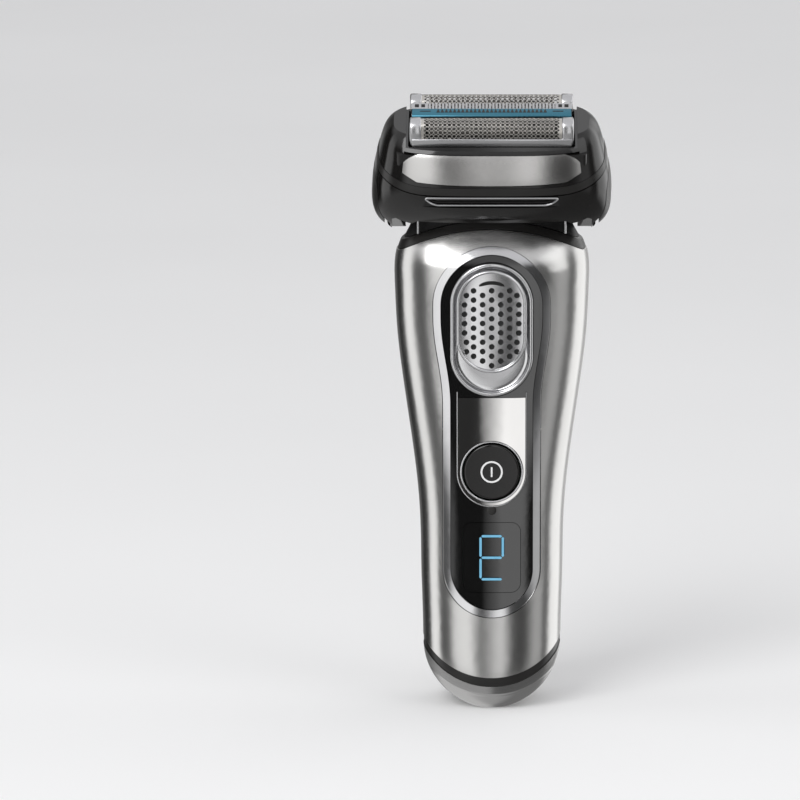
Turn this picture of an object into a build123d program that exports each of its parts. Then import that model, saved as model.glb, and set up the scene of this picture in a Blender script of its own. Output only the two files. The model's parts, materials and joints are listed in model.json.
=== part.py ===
"""Electric foil shaver, in millimetres.

+X is to the right, the front faces -Y and +Z runs up the handle. The origin is the middle of the
flat base. The head, the foil cassette and everything on them are drawn in the HEAD plane, which is
tilted forward about the head's swivel axis.
"""
import os
from functools import lru_cache
from math import copysign, cos, pi, radians, sin, sqrt

from build123d import *

os.makedirs("parts", exist_ok=True)

# ---------------------------------------------------------------- handle
HANDLE_TOP = 133.0         # top of the neck, above the base
TOP_HALF_WIDTH = 25.7      # widest place, below the shoulders
GRIP_HALF_WIDTH = 19.0     # narrowest place, in the hand
FRONT_REACH = 16.4         # front skin, in front of the middle plane
REAR_REACH = 16.0          # rear skin, behind the middle plane
NECK_HALF_WIDTH = 21.9
NECK_HALF_DEPTH = 9.2
TOE_HEIGHT = 17.0          # the rounded foot of the handle
TOE_REACH = 18.2
WALL = 1.8
PARTING_Y = 3.0            # where the front shell meets the rear one
FIT = 0.12                 # gap between pieces that are fixed to each other
RUN = 0.35                 # gap between pieces that move past each other
SECTION_POWER = 2.5        # squareness of the handle's cross-section

SHELL_TOP_Z = HANDLE_TOP - 3.6      # middle of the arched top edge of the shells
ARCH_DROP = 6.0                     # how far that edge falls at ARCH_HALF from the middle
ARCH_HALF = 24.0
COLLAR_HEIGHT = 2.2
SEAM_Z = 9.2               # middle of the curved lower edge of the shells
SEAM_RISE = 9.5
SEAM_HALF = 18.5
BAND_HEIGHT = 2.5          # dark band between the shells and the foot

# ---------------------------------------------------------------- front inlay
INLAY_BOTTOM = 27.7
INLAY_HALF = 10.95         # half width of the lower, straight part
LOBE_HALF = 13.5           # half width of the round part about the lock
INLAY_TOP = HANDLE_TOP - 9.6
INLAY_DROP = 0.8           # the inlay lies this far below the shells' skin
INLAY_THICK = 1.8
BEVEL = 2.1                # width of the sloping rim about the inlay

KNOB_HALF = 9.3
KNOB_LENGTH = 27.6
KNOB_TOP = HANDLE_TOP - 13.2
LOCK_TRAVEL = 4.8
RECESS_DEPTH = 2.7
KNOB_PROUD = 0.7
RING_WIDTH = 1.3
DIMPLE_R = 0.73
DIMPLE_PITCH = 2.38
DIMPLE_ROW = 2.5
DIMPLE_DEPTH = 0.4

POWER_Z = HANDLE_TOP - 67.6
POWER_R = 7.5
POWER_TRAVEL = 0.7
POWER_RING = 0.45
PANEL_HALF = 8.9
PANEL_BOTTOM = POWER_Z - 9.2
SYMBOL_R = 3.2
SYMBOL_LINE = 0.8

DIGIT_Z = INLAY_BOTTOM + 14.3
DIGIT_HALF_WIDTH = 2.95    # middle lines of the digit's uprights
DIGIT_HALF_HEIGHT = 5.85
SEGMENT = 0.93
WINDOW_HALF = 7.6
WINDOW_HALF_HEIGHT = 9.5

# ---------------------------------------------------------------- head
PIVOT_Z = HANDLE_TOP + 2.0
HEAD_TILT = 18.0           # forward lean of the head when nothing presses on it
SWIVEL = 20.0              # and how far it can swing each way
HEAD_HALF_WIDTH = 31.6
HEAD_HALF_DEPTH = 17.5
HEAD_POWER = 3.4
CHIN_W = 1.7               # lower edge of the head's front, above the swivel axis
LOBE_CLEAR_R = 6.2         # the side lobes stay this near to the swivel axis underneath
CAVITY_HALF = NECK_HALF_WIDTH + 0.8
CAVITY_HALF_DEPTH = 13.3
FLOOR_W = 8.4
FLOOR_THICK = 1.4
CASSETTE_W = 10.6          # joint between the head's base and the cassette
CASSETTE_RISE = 6.0        # which runs up towards the sides
CASSETTE_BAND = 2.3
RIM_W = 21.9
HEAD_TOP_W = 24.4
BUTTON_X = 28.3            # inner face of the release buttons
BUTTON_TRAVEL = 1.2
PIN_R = 2.0
PIN_FIT = 0.05

FOIL_HALF = 21.5           # half length of a foil unit with its frame
FOIL_MESH_HALF = 18.6
FOIL_R = 3.0
FOIL_SKIN = 0.25
FOIL_U = 7.1               # the two foils stand this far in front of and behind the middle
FOIL_TOP_W = 28.1
FOIL_FRAME_HALF = 3.75
FOIL_FRAME_TOP = 24.5
FOIL_FRAME_BOTTOM = 18.6
FLOAT = 2.0
COMB_U = (1.15, 3.15)
GUARD_U = (-3.1, 0.85)
TRIMMER_TOP_W = 27.5
CUTTER_R = 2.55
CUTTER_HALF = 16.6
CUTTER_FINS = 24
STROKE = 1.2
DRIVE_PIN_R = 1.2

# ---------------------------------------------------------------- inside the handle
BATTERY_R = 7.0
BATTERY_LENGTH = 50.0
BATTERY_Y = 3.6
BATTERY_BOTTOM = 24.0
BOARD_Y = -9.6
BOARD_THICK = 1.4
SOCKET_HALF_X = 5.0
SOCKET_HALF_Y = 3.2
SOCKET_DEPTH = 9.0
SOCKET_PIN_X = 3.2
SOCKET_PIN_R = 0.75

# ---------------------------------------------------------------- rear trimmer
TRIM_HALF = 13.0
TRIM_TOP = HANDLE_TOP - 8.0
TRIM_LENGTH = 32.0
TRIM_THICK = 2.6
TRACK_Y = REAR_REACH + 2.0
TRACK_HALF = 15.6
TRIM_STROKE = 0.9

TILT = radians(HEAD_TILT)
PIVOT = (0, 0, PIVOT_Z)
HEAD = Plane(origin=PIVOT, x_dir=(1, 0, 0), z_dir=(0, -sin(TILT), cos(TILT)))
HEAD_FRONT = Plane(origin=PIVOT, x_dir=(1, 0, 0), z_dir=(0, -cos(TILT), -sin(TILT)))
HEAD_SIDE = Plane(origin=PIVOT, x_dir=(0, cos(TILT), sin(TILT)), z_dir=(1, 0, 0))
FAR = 60.0                 # long enough to pass through everything


def save(builder, label):
    """Label a finished piece and write it as its own file."""
    builder.part.label = label
    export_step(builder.part, f"parts/{label}.step")


def smooth(low, high, value):
    """0 below low, 1 above high, and an S-shaped step between."""
    t = min(1.0, max(0.0, (value - low) / (high - low)))
    return t * t * (3 - 2 * t)


def toe(z, height):
    """Share of the full width that the rounded foot has at height z."""
    if z >= height:
        return 1.0
    return sqrt(1 - ((height - z) / (height * TOE_REACH / TOE_HEIGHT)) ** 2)


def half_width(z):
    waist = GRIP_HALF_WIDTH - 0.6 * (1 - smooth(TOE_HEIGHT, 45, z))
    flare = (TOP_HALF_WIDTH - GRIP_HALF_WIDTH) * smooth(45, HANDLE_TOP - 19, z)
    neck = (TOP_HALF_WIDTH - NECK_HALF_WIDTH) * smooth(HANDLE_TOP - 12, HANDLE_TOP - 1, z)
    return (waist + flare - neck) * toe(z, TOE_HEIGHT)


def reach(z, full):
    """Distance from the middle plane to the front or rear skin."""
    grown = full - 1.2 * (1 - smooth(30, 85, z))
    neck = (full - NECK_HALF_DEPTH) * smooth(HANDLE_TOP - 15, HANDLE_TOP, z)
    return (grown - neck) * (0.45 + 0.55 * toe(z, 0.7 * TOE_HEIGHT))


def ring_points(half_x, front, rear, power, count=16):
    """Points round a rounded, slightly square section."""
    half_y, middle = (front + rear) / 2, (rear - front) / 2
    points = []
    for i in range(count):
        c, s = cos(2 * pi * i / count), sin(2 * pi * i / count)
        x = half_x * copysign(abs(c) ** (2 / power), c)
        points.append((x, middle + half_y * copysign(abs(s) ** (2 / power), s)))
    return points


@lru_cache(maxsize=None)
def handle_body(inset):
    """The handle's outer form, drawn in by inset all round and at the foot."""
    foot = [0, 1.0, 2.6, 5.0, 8.5, 13.0, 19.0, 27.0, 36.0]
    flank = [36 + (HANDLE_TOP - 56) * k / 7 for k in range(1, 8)]
    neck = [HANDLE_TOP - 13, HANDLE_TOP - 8, HANDLE_TOP - 4, HANDLE_TOP]
    low = max(0.0, inset)
    with BuildPart() as body:
        for z in foot + flank + neck:
            height = low + z * (HANDLE_TOP - low) / HANDLE_TOP
            with BuildSketch(Plane.XY.offset(height)):
                with BuildLine():
                    Spline(ring_points(half_width(z) - inset, reach(z, FRONT_REACH) - inset,
                                       reach(z, REAR_REACH) - inset, SECTION_POWER), periodic=True)
                make_face()
        loft()
    return body.part


def above_arch(lift):
    """Everything above the arched top edge of the shells, raised by lift."""
    top = SHELL_TOP_Z + lift
    with BuildPart(mode=Mode.PRIVATE) as region:
        with BuildSketch(Plane.XZ):
            with BuildLine():
                ThreePointArc((-ARCH_HALF, top - ARCH_DROP), (0, top), (ARCH_HALF, top - ARCH_DROP))
                Polyline((ARCH_HALF, top - ARCH_DROP), (FAR, top - 3 * ARCH_DROP), (FAR, top + FAR),
                         (-FAR, top + FAR), (-FAR, top - 3 * ARCH_DROP), (-ARCH_HALF, top - ARCH_DROP))
            make_face()
        extrude(amount=FAR, both=True)
    return region.part


def below_seam(lift):
    """Everything below the curved lower edge of the shells, raised by lift."""
    low, side = SEAM_Z + lift, SEAM_Z + SEAM_RISE + lift
    with BuildPart(mode=Mode.PRIVATE) as region:
        with BuildSketch(Plane.XZ):
            with BuildLine():
                ThreePointArc((-SEAM_HALF, side), (0, low), (SEAM_HALF, side))
                Polyline((SEAM_HALF, side), (FAR, side), (FAR, -FAR), (-FAR, -FAR), (-FAR, side),
                         (-SEAM_HALF, side))
            make_face()
        extrude(amount=FAR, both=True)
    return region.part


def keyhole(grow):
    """Outline of the front inlay on the XZ plane: a straight lower part under a round lobe."""
    low, high = INLAY_HALF + grow, LOBE_HALF + grow
    foot_z, lobe_z = INLAY_BOTTOM + INLAY_HALF, INLAY_TOP - LOBE_HALF
    waist_z = KNOB_TOP - KNOB_LENGTH - LOCK_TRAVEL - 4
    with BuildSketch(Plane.XZ) as outline:
        with BuildLine():
            ThreePointArc((low, foot_z), (0, foot_z - low), (-low, foot_z))
            Line((-low, foot_z), (-low, waist_z))
            Spline((-low, waist_z), (-high, lobe_z - 3), tangents=[(0, 1), (0, 1)])
            Line((-high, lobe_z - 3), (-high, lobe_z))
            ThreePointArc((-high, lobe_z), (0, lobe_z + high), (high, lobe_z))
            Line((high, lobe_z), (high, lobe_z - 3))
            Spline((high, lobe_z - 3), (low, waist_z), tangents=[(0, -1), (0, -1)])
            Line((low, waist_z), (low, foot_z))
        make_face()
    return outline.sketch


def upright_slot(half, low, high):
    """Round-ended upright slot on the XZ plane."""
    with BuildSketch(Plane.XZ) as outline:
        with Locations((0, (low + high) / 2)):
            SlotOverall(high - low, 2 * half, rotation=90)
    return outline.sketch


def panel_outline(grow):
    """The metal panel between the lock and the power button: square top, round bottom."""
    half = PANEL_HALF + grow
    low, high = PANEL_BOTTOM - grow, RECESS_LOW - RING_WIDTH - 0.4 + grow
    with BuildSketch(Plane.XZ) as outline:
        with BuildLine():
            ThreePointArc((half, low + half), (0, low), (-half, low + half))
            Polyline((-half, low + half), (-half, high), (half, high), (half, low + half))
        make_face()
    return outline.sketch


def window_outline(grow):
    with BuildSketch(Plane.XZ) as outline:
        with Locations((0, DIGIT_Z)):
            RectangleRounded(2 * (WINDOW_HALF + grow), 2 * (WINDOW_HALF_HEIGHT + grow), 2.5 + grow)
    return outline.sketch


def front_prism(outline):
    """The outline carried forward from the middle plane."""
    with BuildPart(mode=Mode.PRIVATE) as prism:
        extrude(outline, amount=FAR)
    return prism.part


RECESS_TOP = KNOB_TOP + RUN
RECESS_LOW = KNOB_TOP - KNOB_LENGTH - LOCK_TRAVEL - RUN
RECESS_HALF = KNOB_HALF + RUN
BELOW_INLAY = INLAY_DROP + INLAY_THICK


# ================================================================ casing
with BuildPart() as front_shell:
    add(handle_body(0))
    add(handle_body(WALL), mode=Mode.SUBTRACT)
    split(bisect_by=Plane.XZ.offset(-PARTING_Y), keep=Keep.TOP)
    add(above_arch(0), mode=Mode.SUBTRACT)
    add(below_seam(0), mode=Mode.SUBTRACT)
    add(front_prism(keyhole(BEVEL)), mode=Mode.SUBTRACT)
save(front_shell, "front_shell")

CONTACT_Z, CONTACT_X, CONTACT_R = 24.0, 5.0, 2.0
GRIP_LOW, GRIP_HIGH, GRIP_HALF_X = 30.0, HANDLE_TOP - 51, 13.5

with BuildPart() as track_pad:
    with BuildSketch(Plane.XZ.offset(-TRACK_Y)):
        with Locations((0, TRIM_TOP - TRIM_LENGTH / 2 - 2)):
            RectangleRounded(2 * TRACK_HALF, TRIM_LENGTH + 8, 4)
    extrude(amount=9)
    add(handle_body(WALL), mode=Mode.SUBTRACT)

with BuildPart() as rear_shell:
    add(handle_body(0))
    add(track_pad.part)
    add(handle_body(WALL), mode=Mode.SUBTRACT)
    split(bisect_by=Plane.XZ.offset(-PARTING_Y - FIT), keep=Keep.BOTTOM)
    add(above_arch(0), mode=Mode.SUBTRACT)
    add(below_seam(0), mode=Mode.SUBTRACT)
    with BuildSketch(Plane.XZ.offset(-REAR_REACH - 4)):
        with Locations((0, (GRIP_LOW + GRIP_HIGH) / 2)):
            SlotOverall(GRIP_HIGH - GRIP_LOW + 2 * FIT, 2 * GRIP_HALF_X + 2 * FIT, rotation=90)
    extrude(amount=4 + REAR_REACH - PARTING_Y - 2, mode=Mode.SUBTRACT)
    with BuildSketch(Plane.XZ.offset(-REAR_REACH - 4)):
        with Locations((-CONTACT_X, CONTACT_Z), (CONTACT_X, CONTACT_Z)):
            Circle(CONTACT_R + FIT)
    extrude(amount=4 + REAR_REACH - PARTING_Y - 2, mode=Mode.SUBTRACT)
save(rear_shell, "rear_shell")

with BuildPart() as rear_grip:
    with BuildSketch(Plane.XZ.offset(-REAR_REACH - 4)):
        with Locations((0, (GRIP_LOW + GRIP_HIGH) / 2)):
            SlotOverall(GRIP_HIGH - GRIP_LOW, 2 * GRIP_HALF_X, rotation=90)
    extrude(amount=4 + REAR_REACH - PARTING_Y - 2)
    add(handle_body(-0.5), mode=Mode.INTERSECT)
    add(handle_body(WALL), mode=Mode.SUBTRACT)
save(rear_grip, "rear_grip")

with BuildPart() as station_contacts:
    with BuildSketch(Plane.XZ.offset(-REAR_REACH - 4)):
        with Locations((-CONTACT_X, CONTACT_Z), (CONTACT_X, CONTACT_Z)):
            Circle(CONTACT_R)
    extrude(amount=4 + REAR_REACH - PARTING_Y - 2)
    add(handle_body(0.3), mode=Mode.INTERSECT)
    add(handle_body(WALL), mode=Mode.SUBTRACT)
save(station_contacts, "station_contacts")

with BuildPart() as neck_collar:
    add(handle_body(0.25))
    add(handle_body(WALL + 0.4), mode=Mode.SUBTRACT)
    add(above_arch(0.1), mode=Mode.INTERSECT)
    add(above_arch(COLLAR_HEIGHT), mode=Mode.SUBTRACT)
save(neck_collar, "neck_collar")

# ================================================================ foot
with BuildPart() as bottom_band:
    add(handle_body(0.15))
    add(handle_body(WALL + 0.6), mode=Mode.SUBTRACT)
    add(below_seam(-0.05), mode=Mode.INTERSECT)
    add(below_seam(-BAND_HEIGHT), mode=Mode.SUBTRACT)
save(bottom_band, "bottom_band")

with BuildPart() as bottom_cap:
    add(handle_body(0))
    add(below_seam(-BAND_HEIGHT - 0.05), mode=Mode.INTERSECT)
    with BuildSketch(Plane.XY.offset(SOCKET_DEPTH + 2.0)):
        with BuildLine():
            Spline(ring_points(half_width(8) - 2.2, reach(8, FRONT_REACH) - 2.2,
                               reach(8, REAR_REACH) - 2.2, SECTION_POWER), periodic=True)
        make_face()
    extrude(amount=FAR, mode=Mode.SUBTRACT)
    with BuildSketch(Plane.XY):
        SlotOverall(2 * (SOCKET_HALF_X + 1.2), 2 * (SOCKET_HALF_Y + 1.2))
    extrude(amount=FAR, mode=Mode.SUBTRACT)
save(bottom_cap, "bottom_cap")

with BuildPart() as charging_socket:
    with BuildSketch(Plane.XY.offset(0.3)):
        SlotOverall(2 * (SOCKET_HALF_X + 1.2 - FIT), 2 * (SOCKET_HALF_Y + 1.2 - FIT))
    extrude(amount=SOCKET_DEPTH + 1.5)
    with BuildSketch(Plane.XY):
        SlotOverall(2 * SOCKET_HALF_X, 2 * SOCKET_HALF_Y)
    extrude(amount=SOCKET_DEPTH, mode=Mode.SUBTRACT)
    with Locations((-SOCKET_PIN_X, 0, 0), (SOCKET_PIN_X, 0, 0)):
        Cylinder(SOCKET_PIN_R + 0.02, FAR, mode=Mode.SUBTRACT)
save(charging_socket, "charging_socket")

with BuildPart() as socket_pins:
    with BuildSketch(Plane.XY.offset(3.0)):
        with Locations((-SOCKET_PIN_X, 0), (SOCKET_PIN_X, 0)):
            Circle(SOCKET_PIN_R)
    extrude(amount=SOCKET_DEPTH)
save(socket_pins, "socket_pins")

# ================================================================ front inlay
with BuildPart() as inlay_rim:
    add(front_prism(keyhole(BEVEL - FIT)))
    add(front_prism(keyhole(0)), mode=Mode.SUBTRACT)
    add(handle_body(0.3), mode=Mode.INTERSECT)
    add(handle_body(BELOW_INLAY), mode=Mode.SUBTRACT)
save(inlay_rim, "inlay_rim")

with BuildPart() as front_bezel:
    add(front_prism(keyhole(-FIT)))
    add(handle_body(INLAY_DROP), mode=Mode.INTERSECT)
    add(handle_body(BELOW_INLAY), mode=Mode.SUBTRACT)
    add(front_prism(upright_slot(RECESS_HALF + RING_WIDTH + FIT, RECESS_LOW - RING_WIDTH - FIT,
                                 RECESS_TOP + RING_WIDTH + FIT)), mode=Mode.SUBTRACT)
    add(front_prism(panel_outline(FIT)), mode=Mode.SUBTRACT)
    add(front_prism(window_outline(FIT)), mode=Mode.SUBTRACT)
save(front_bezel, "front_bezel")

with BuildPart() as lock_ring:
    add(front_prism(upright_slot(RECESS_HALF + RING_WIDTH, RECESS_LOW - RING_WIDTH,
                                 RECESS_TOP + RING_WIDTH)))
    add(front_prism(upright_slot(RECESS_HALF, RECESS_LOW, RECESS_TOP)), mode=Mode.SUBTRACT)
    add(handle_body(INLAY_DROP - 0.5), mode=Mode.INTERSECT)
    add(handle_body(BELOW_INLAY), mode=Mode.SUBTRACT)
save(lock_ring, "lock_ring")

FLOOR_Y = FRONT_REACH - RECESS_DEPTH
STEM_HALF = 2.5
with BuildPart() as lock_track:
    with BuildSketch(Plane.XZ.offset(FLOOR_Y - 1.2)):
        with Locations((0, (RECESS_LOW + RECESS_TOP) / 2)):
            SlotOverall(RECESS_TOP - RECESS_LOW + 1.6, 2 * RECESS_HALF + 1.6, rotation=90)
            SlotOverall(KNOB_LENGTH / 2 + LOCK_TRAVEL, 2 * (STEM_HALF + RUN), rotation=90,
                        mode=Mode.SUBTRACT)
    extrude(amount=1.2)
    with BuildSketch(Plane.XZ.offset(FLOOR_Y)):
        with Locations((0, (RECESS_LOW + RECESS_TOP) / 2)):
            SlotOverall(RECESS_TOP - RECESS_LOW - 0.1, 2 * RECESS_HALF - 0.1, rotation=90)
            SlotOverall(RECESS_TOP - RECESS_LOW - 0.1 - 0.8, 2 * RECESS_HALF - 0.1 - 0.8, rotation=90,
                        mode=Mode.SUBTRACT)
    extrude(amount=0.25)
    add(handle_body(BELOW_INLAY + 0.05), mode=Mode.INTERSECT)
save(lock_track, "lock_track")

KNOB_Z = KNOB_TOP - KNOB_LENGTH / 2
KNOB_FACE = FRONT_REACH + KNOB_PROUD


def knob_dimples():
    """Places of the dimples: staggered columns that fill the oval face."""
    places = []
    for column in range(-3, 4):
        shift = 0.5 * DIMPLE_ROW if column % 2 else 0
        for row in range(-6, 6):
            x, z = column * DIMPLE_PITCH, row * DIMPLE_ROW + shift - 0.8
            edge = KNOB_LENGTH / 2 - KNOB_HALF
            beyond = max(0.0, abs(z + 0.8) - edge)
            if sqrt(x * x + beyond * beyond) < KNOB_HALF - 1.7 and z < KNOB_LENGTH / 2 - 4.6:
                places.append((x, z))
    return places


with BuildPart() as lock_knob:
    with BuildSketch(Plane.XZ.offset(FLOOR_Y + RUN)):
        with Locations((0, KNOB_Z)):
            SlotOverall(KNOB_LENGTH, 2 * KNOB_HALF, rotation=90)
    extrude(amount=KNOB_FACE - FLOOR_Y - RUN)
    chamfer(lock_knob.faces().sort_by(Axis.Y)[0].edges(), 0.5)
    with BuildSketch(Plane.XZ.offset(KNOB_FACE)):
        with Locations((0, KNOB_Z)):
            SlotOverall(KNOB_LENGTH - 2.2, 2 * KNOB_HALF - 2.2, rotation=90)
    extrude(amount=-0.5, mode=Mode.SUBTRACT)
    with Locations([(x, -KNOB_FACE + 0.5 - DIMPLE_R + DIMPLE_DEPTH, KNOB_Z + z)
                    for x, z in knob_dimples()]):
        Sphere(DIMPLE_R, mode=Mode.SUBTRACT)
    with BuildSketch(Plane.XZ.offset(KNOB_FACE - 0.5)):
        with Locations((0, KNOB_TOP - 3.3)):
            SlotOverall(6.3, 1.2)
    extrude(amount=-0.4, mode=Mode.SUBTRACT)
    with BuildSketch(Plane.XZ.offset(FLOOR_Y + RUN)):
        with Locations((0, KNOB_Z)):
            RectangleRounded(2 * STEM_HALF, KNOB_LENGTH / 2 - LOCK_TRAVEL, 1)
    extrude(amount=-(RUN + 1.2 + RUN))
save(lock_knob, "lock_knob")

SLIDER_Y = FLOOR_Y - 1.2 - RUN
SLIDER_TOP = HANDLE_TOP - 14.5
with BuildPart() as lock_slider:
    with BuildSketch(Plane.XZ.offset(SLIDER_Y)):
        with Locations((0, KNOB_Z)):
            RectangleRounded(12, 17, 2)
        with Locations((0, (KNOB_Z + SLIDER_TOP) / 2)):
            Rectangle(4, SLIDER_TOP - KNOB_Z)
    extrude(amount=-1.2)
save(lock_slider, "lock_slider")

with BuildPart() as centre_panel:
    add(front_prism(panel_outline(0)))
    add(handle_body(INLAY_DROP - 0.15), mode=Mode.INTERSECT)
    add(handle_body(BELOW_INLAY), mode=Mode.SUBTRACT)
    add(front_prism(upright_slot(RECESS_HALF + RING_WIDTH + FIT, RECESS_LOW - RING_WIDTH - FIT,
                                 RECESS_TOP + RING_WIDTH + FIT)), mode=Mode.SUBTRACT)
    with BuildSketch(Plane.XZ):
        with Locations((0, POWER_Z)):
            Circle(POWER_R + RUN + POWER_RING + FIT)
    extrude(amount=FAR, mode=Mode.SUBTRACT)
save(centre_panel, "centre_panel")

POWER_FACE = reach(POWER_Z, FRONT_REACH)
with BuildPart() as power_ring:
    with BuildSketch(Plane.XZ.offset(POWER_FACE - INLAY_DROP - INLAY_THICK - 0.6)):
        with Locations((0, POWER_Z)):
            Circle(POWER_R + RUN + POWER_RING)
            Circle(POWER_R + RUN, mode=Mode.SUBTRACT)
    extrude(amount=INLAY_THICK + 0.9)
    chamfer(power_ring.faces().sort_by(Axis.Y)[0].edges(), 0.12)
save(power_ring, "power_ring")


def symbol_sketch(plane):
    """Power symbol: a ring with a short upright bar inside."""
    with BuildSketch(plane) as mark:
        with Locations((0, POWER_Z)):
            Circle(SYMBOL_R)
            Circle(SYMBOL_R - SYMBOL_LINE, mode=Mode.SUBTRACT)
            SlotOverall(2.6, SYMBOL_LINE, rotation=90)
    return mark.sketch


POWER_TOP = POWER_FACE - 0.5
with BuildPart() as power_button:
    with BuildSketch(Plane.XZ.offset(POWER_TOP - 2.2)):
        with Locations((0, POWER_Z)):
            Circle(POWER_R)
    extrude(amount=2.2)
    fillet(power_button.faces().sort_by(Axis.Y)[0].edges(), 0.6)
    extrude(symbol_sketch(Plane.XZ.offset(POWER_TOP)), amount=-0.3, mode=Mode.SUBTRACT)
    with BuildSketch(Plane.XZ.offset(POWER_TOP - 2.2)):
        with Locations((0, POWER_Z)):
            Circle(1.6)
    extrude(amount=-0.6)
save(power_button, "power_button")

with BuildPart() as power_symbol:
    extrude(symbol_sketch(Plane.XZ.offset(POWER_TOP)), amount=-0.3)
save(power_symbol, "power_symbol")

SWITCH_Y = POWER_TOP - 2.2 - 0.6 - POWER_TRAVEL - 0.15
with BuildPart() as power_switch:
    with BuildSketch(Plane.XZ.offset(-BOARD_Y)):
        with Locations((0, POWER_Z)):
            RectangleRounded(4.5, 4.5, 0.5)
    extrude(amount=SWITCH_Y + BOARD_Y - 0.5)
    with BuildSketch(Plane.XZ.offset(SWITCH_Y - 0.5)):
        with Locations((0, POWER_Z)):
            Circle(1.2)
    extrude(amount=0.5)
save(power_switch, "power_switch")


def segment_places():
    """Middle and direction of each lit bar of the digit."""
    half_h, half_w = DIGIT_HALF_HEIGHT, DIGIT_HALF_WIDTH
    level = [(0, half_h, 0), (0, 0, 0), (0, -half_h, 0)]
    upright = [(-half_w, half_h / 2, 90), (half_w, half_h / 2, 90), (-half_w, -half_h / 2, 90)]
    return level + upright


def digit_sketch():
    with BuildSketch(Plane.XZ) as bars:
        for x, z, turn in segment_places():
            length = 2 * DIGIT_HALF_WIDTH - SEGMENT - 0.7 if turn == 0 else DIGIT_HALF_HEIGHT - 1.1
            with Locations((x, DIGIT_Z + z)):
                SlotOverall(length, SEGMENT, rotation=turn)
    return bars.sketch


with BuildPart() as display_window:
    add(front_prism(window_outline(0)))
    add(handle_body(INLAY_DROP), mode=Mode.INTERSECT)
    add(handle_body(BELOW_INLAY), mode=Mode.SUBTRACT)
    add(front_prism(digit_sketch()), mode=Mode.SUBTRACT)
save(display_window, "display_window")

with BuildPart() as display_digit:
    add(front_prism(digit_sketch()))
    add(handle_body(INLAY_DROP - 0.03), mode=Mode.INTERSECT)
    add(handle_body(BELOW_INLAY), mode=Mode.SUBTRACT)
save(display_digit, "display_digit")

WINDOW_BACK = reach(DIGIT_Z - WINDOW_HALF_HEIGHT, FRONT_REACH) - BELOW_INLAY - 0.9
with BuildPart() as display_module:
    with BuildSketch(Plane.XZ.offset(-BOARD_Y)):
        with Locations((0, DIGIT_Z)):
            RectangleRounded(2 * WINDOW_HALF - 1, 2 * WINDOW_HALF_HEIGHT - 1, 1)
    extrude(amount=WINDOW_BACK + BOARD_Y)
save(display_module, "display_module")

# ================================================================ inside the handle
BOARD_LOW, BOARD_HIGH, BOARD_HALF = 28.0, HANDLE_TOP - 50, 9.0
with BuildPart() as control_board:
    with BuildSketch(Plane.XZ.offset(-BOARD_Y)):
        with Locations((0, (BOARD_LOW + BOARD_HIGH) / 2)):
            RectangleRounded(2 * BOARD_HALF, BOARD_HIGH - BOARD_LOW, 1.5)
    extrude(amount=-BOARD_THICK)
    with BuildSketch(Plane.XZ.offset(-BOARD_Y)):
        with Locations((-BOARD_HALF + 2, BOARD_LOW + 2), (BOARD_HALF - 2, BOARD_LOW + 2),
                       (-BOARD_HALF + 2, BOARD_HIGH - 2), (BOARD_HALF - 2, BOARD_HIGH - 2)):
            Circle(0.9)
    extrude(amount=-BOARD_THICK, mode=Mode.SUBTRACT)
save(control_board, "control_board")

with BuildPart() as board_chips:
    with BuildSketch(Plane.XZ.offset(-BOARD_Y - BOARD_THICK)):
        with Locations((0, BOARD_HIGH - 10), (3, BOARD_LOW + 8)):
            RectangleRounded(6, 6, 0.4)
        with Locations((-4.5, BOARD_HIGH - 22), (4.5, BOARD_HIGH - 22), (-4.5, BOARD_LOW + 9)):
            RectangleRounded(3, 5, 0.3)
    extrude(amount=-1.0)
save(board_chips, "board_chips")

TRAY_Y = BOARD_Y + BOARD_THICK + 1.6
with BuildPart() as inner_chassis:
    with BuildSketch(Plane.XZ.offset(-TRAY_Y)):
        with Locations((0, (BATTERY_BOTTOM + HANDLE_TOP - 20) / 2 - 1)):
            RectangleRounded(2 * BOARD_HALF + 6, HANDLE_TOP - 20 - BATTERY_BOTTOM + 6, 3)
    extrude(amount=-1.4)
    with BuildSketch(Plane.XY.offset(BATTERY_BOTTOM - 3)):
        with Locations((0, TRAY_Y + 7.5)):
            Rectangle(2 * BATTERY_R + 2, 15)
    extrude(amount=2.0)
    with BuildSketch(Plane.XY.offset(BATTERY_BOTTOM + BATTERY_LENGTH + 1)):
        with Locations((0, TRAY_Y + 7.5)):
            Rectangle(2 * BATTERY_R + 2, 15)
    extrude(amount=2.0)
    with BuildSketch(Plane.XZ.offset(-TRAY_Y)):
        with Locations((-BOARD_HALF + 2, BOARD_LOW + 2), (BOARD_HALF - 2, BOARD_LOW + 2),
                       (-BOARD_HALF + 2, BOARD_HIGH - 2), (BOARD_HALF - 2, BOARD_HIGH - 2)):
            Circle(1.7)
    extrude(amount=1.6)
    with BuildSketch(Plane.XZ.offset(-TRAY_Y - 1.4)):
        with Locations((-BOARD_HALF + 2, BOARD_LOW + 2), (BOARD_HALF - 2, BOARD_LOW + 2),
                       (-BOARD_HALF + 2, BOARD_HIGH - 2), (BOARD_HALF - 2, BOARD_HIGH - 2)):
            Circle(0.75)
    extrude(amount=FAR, mode=Mode.SUBTRACT)
save(inner_chassis, "inner_chassis")

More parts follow.
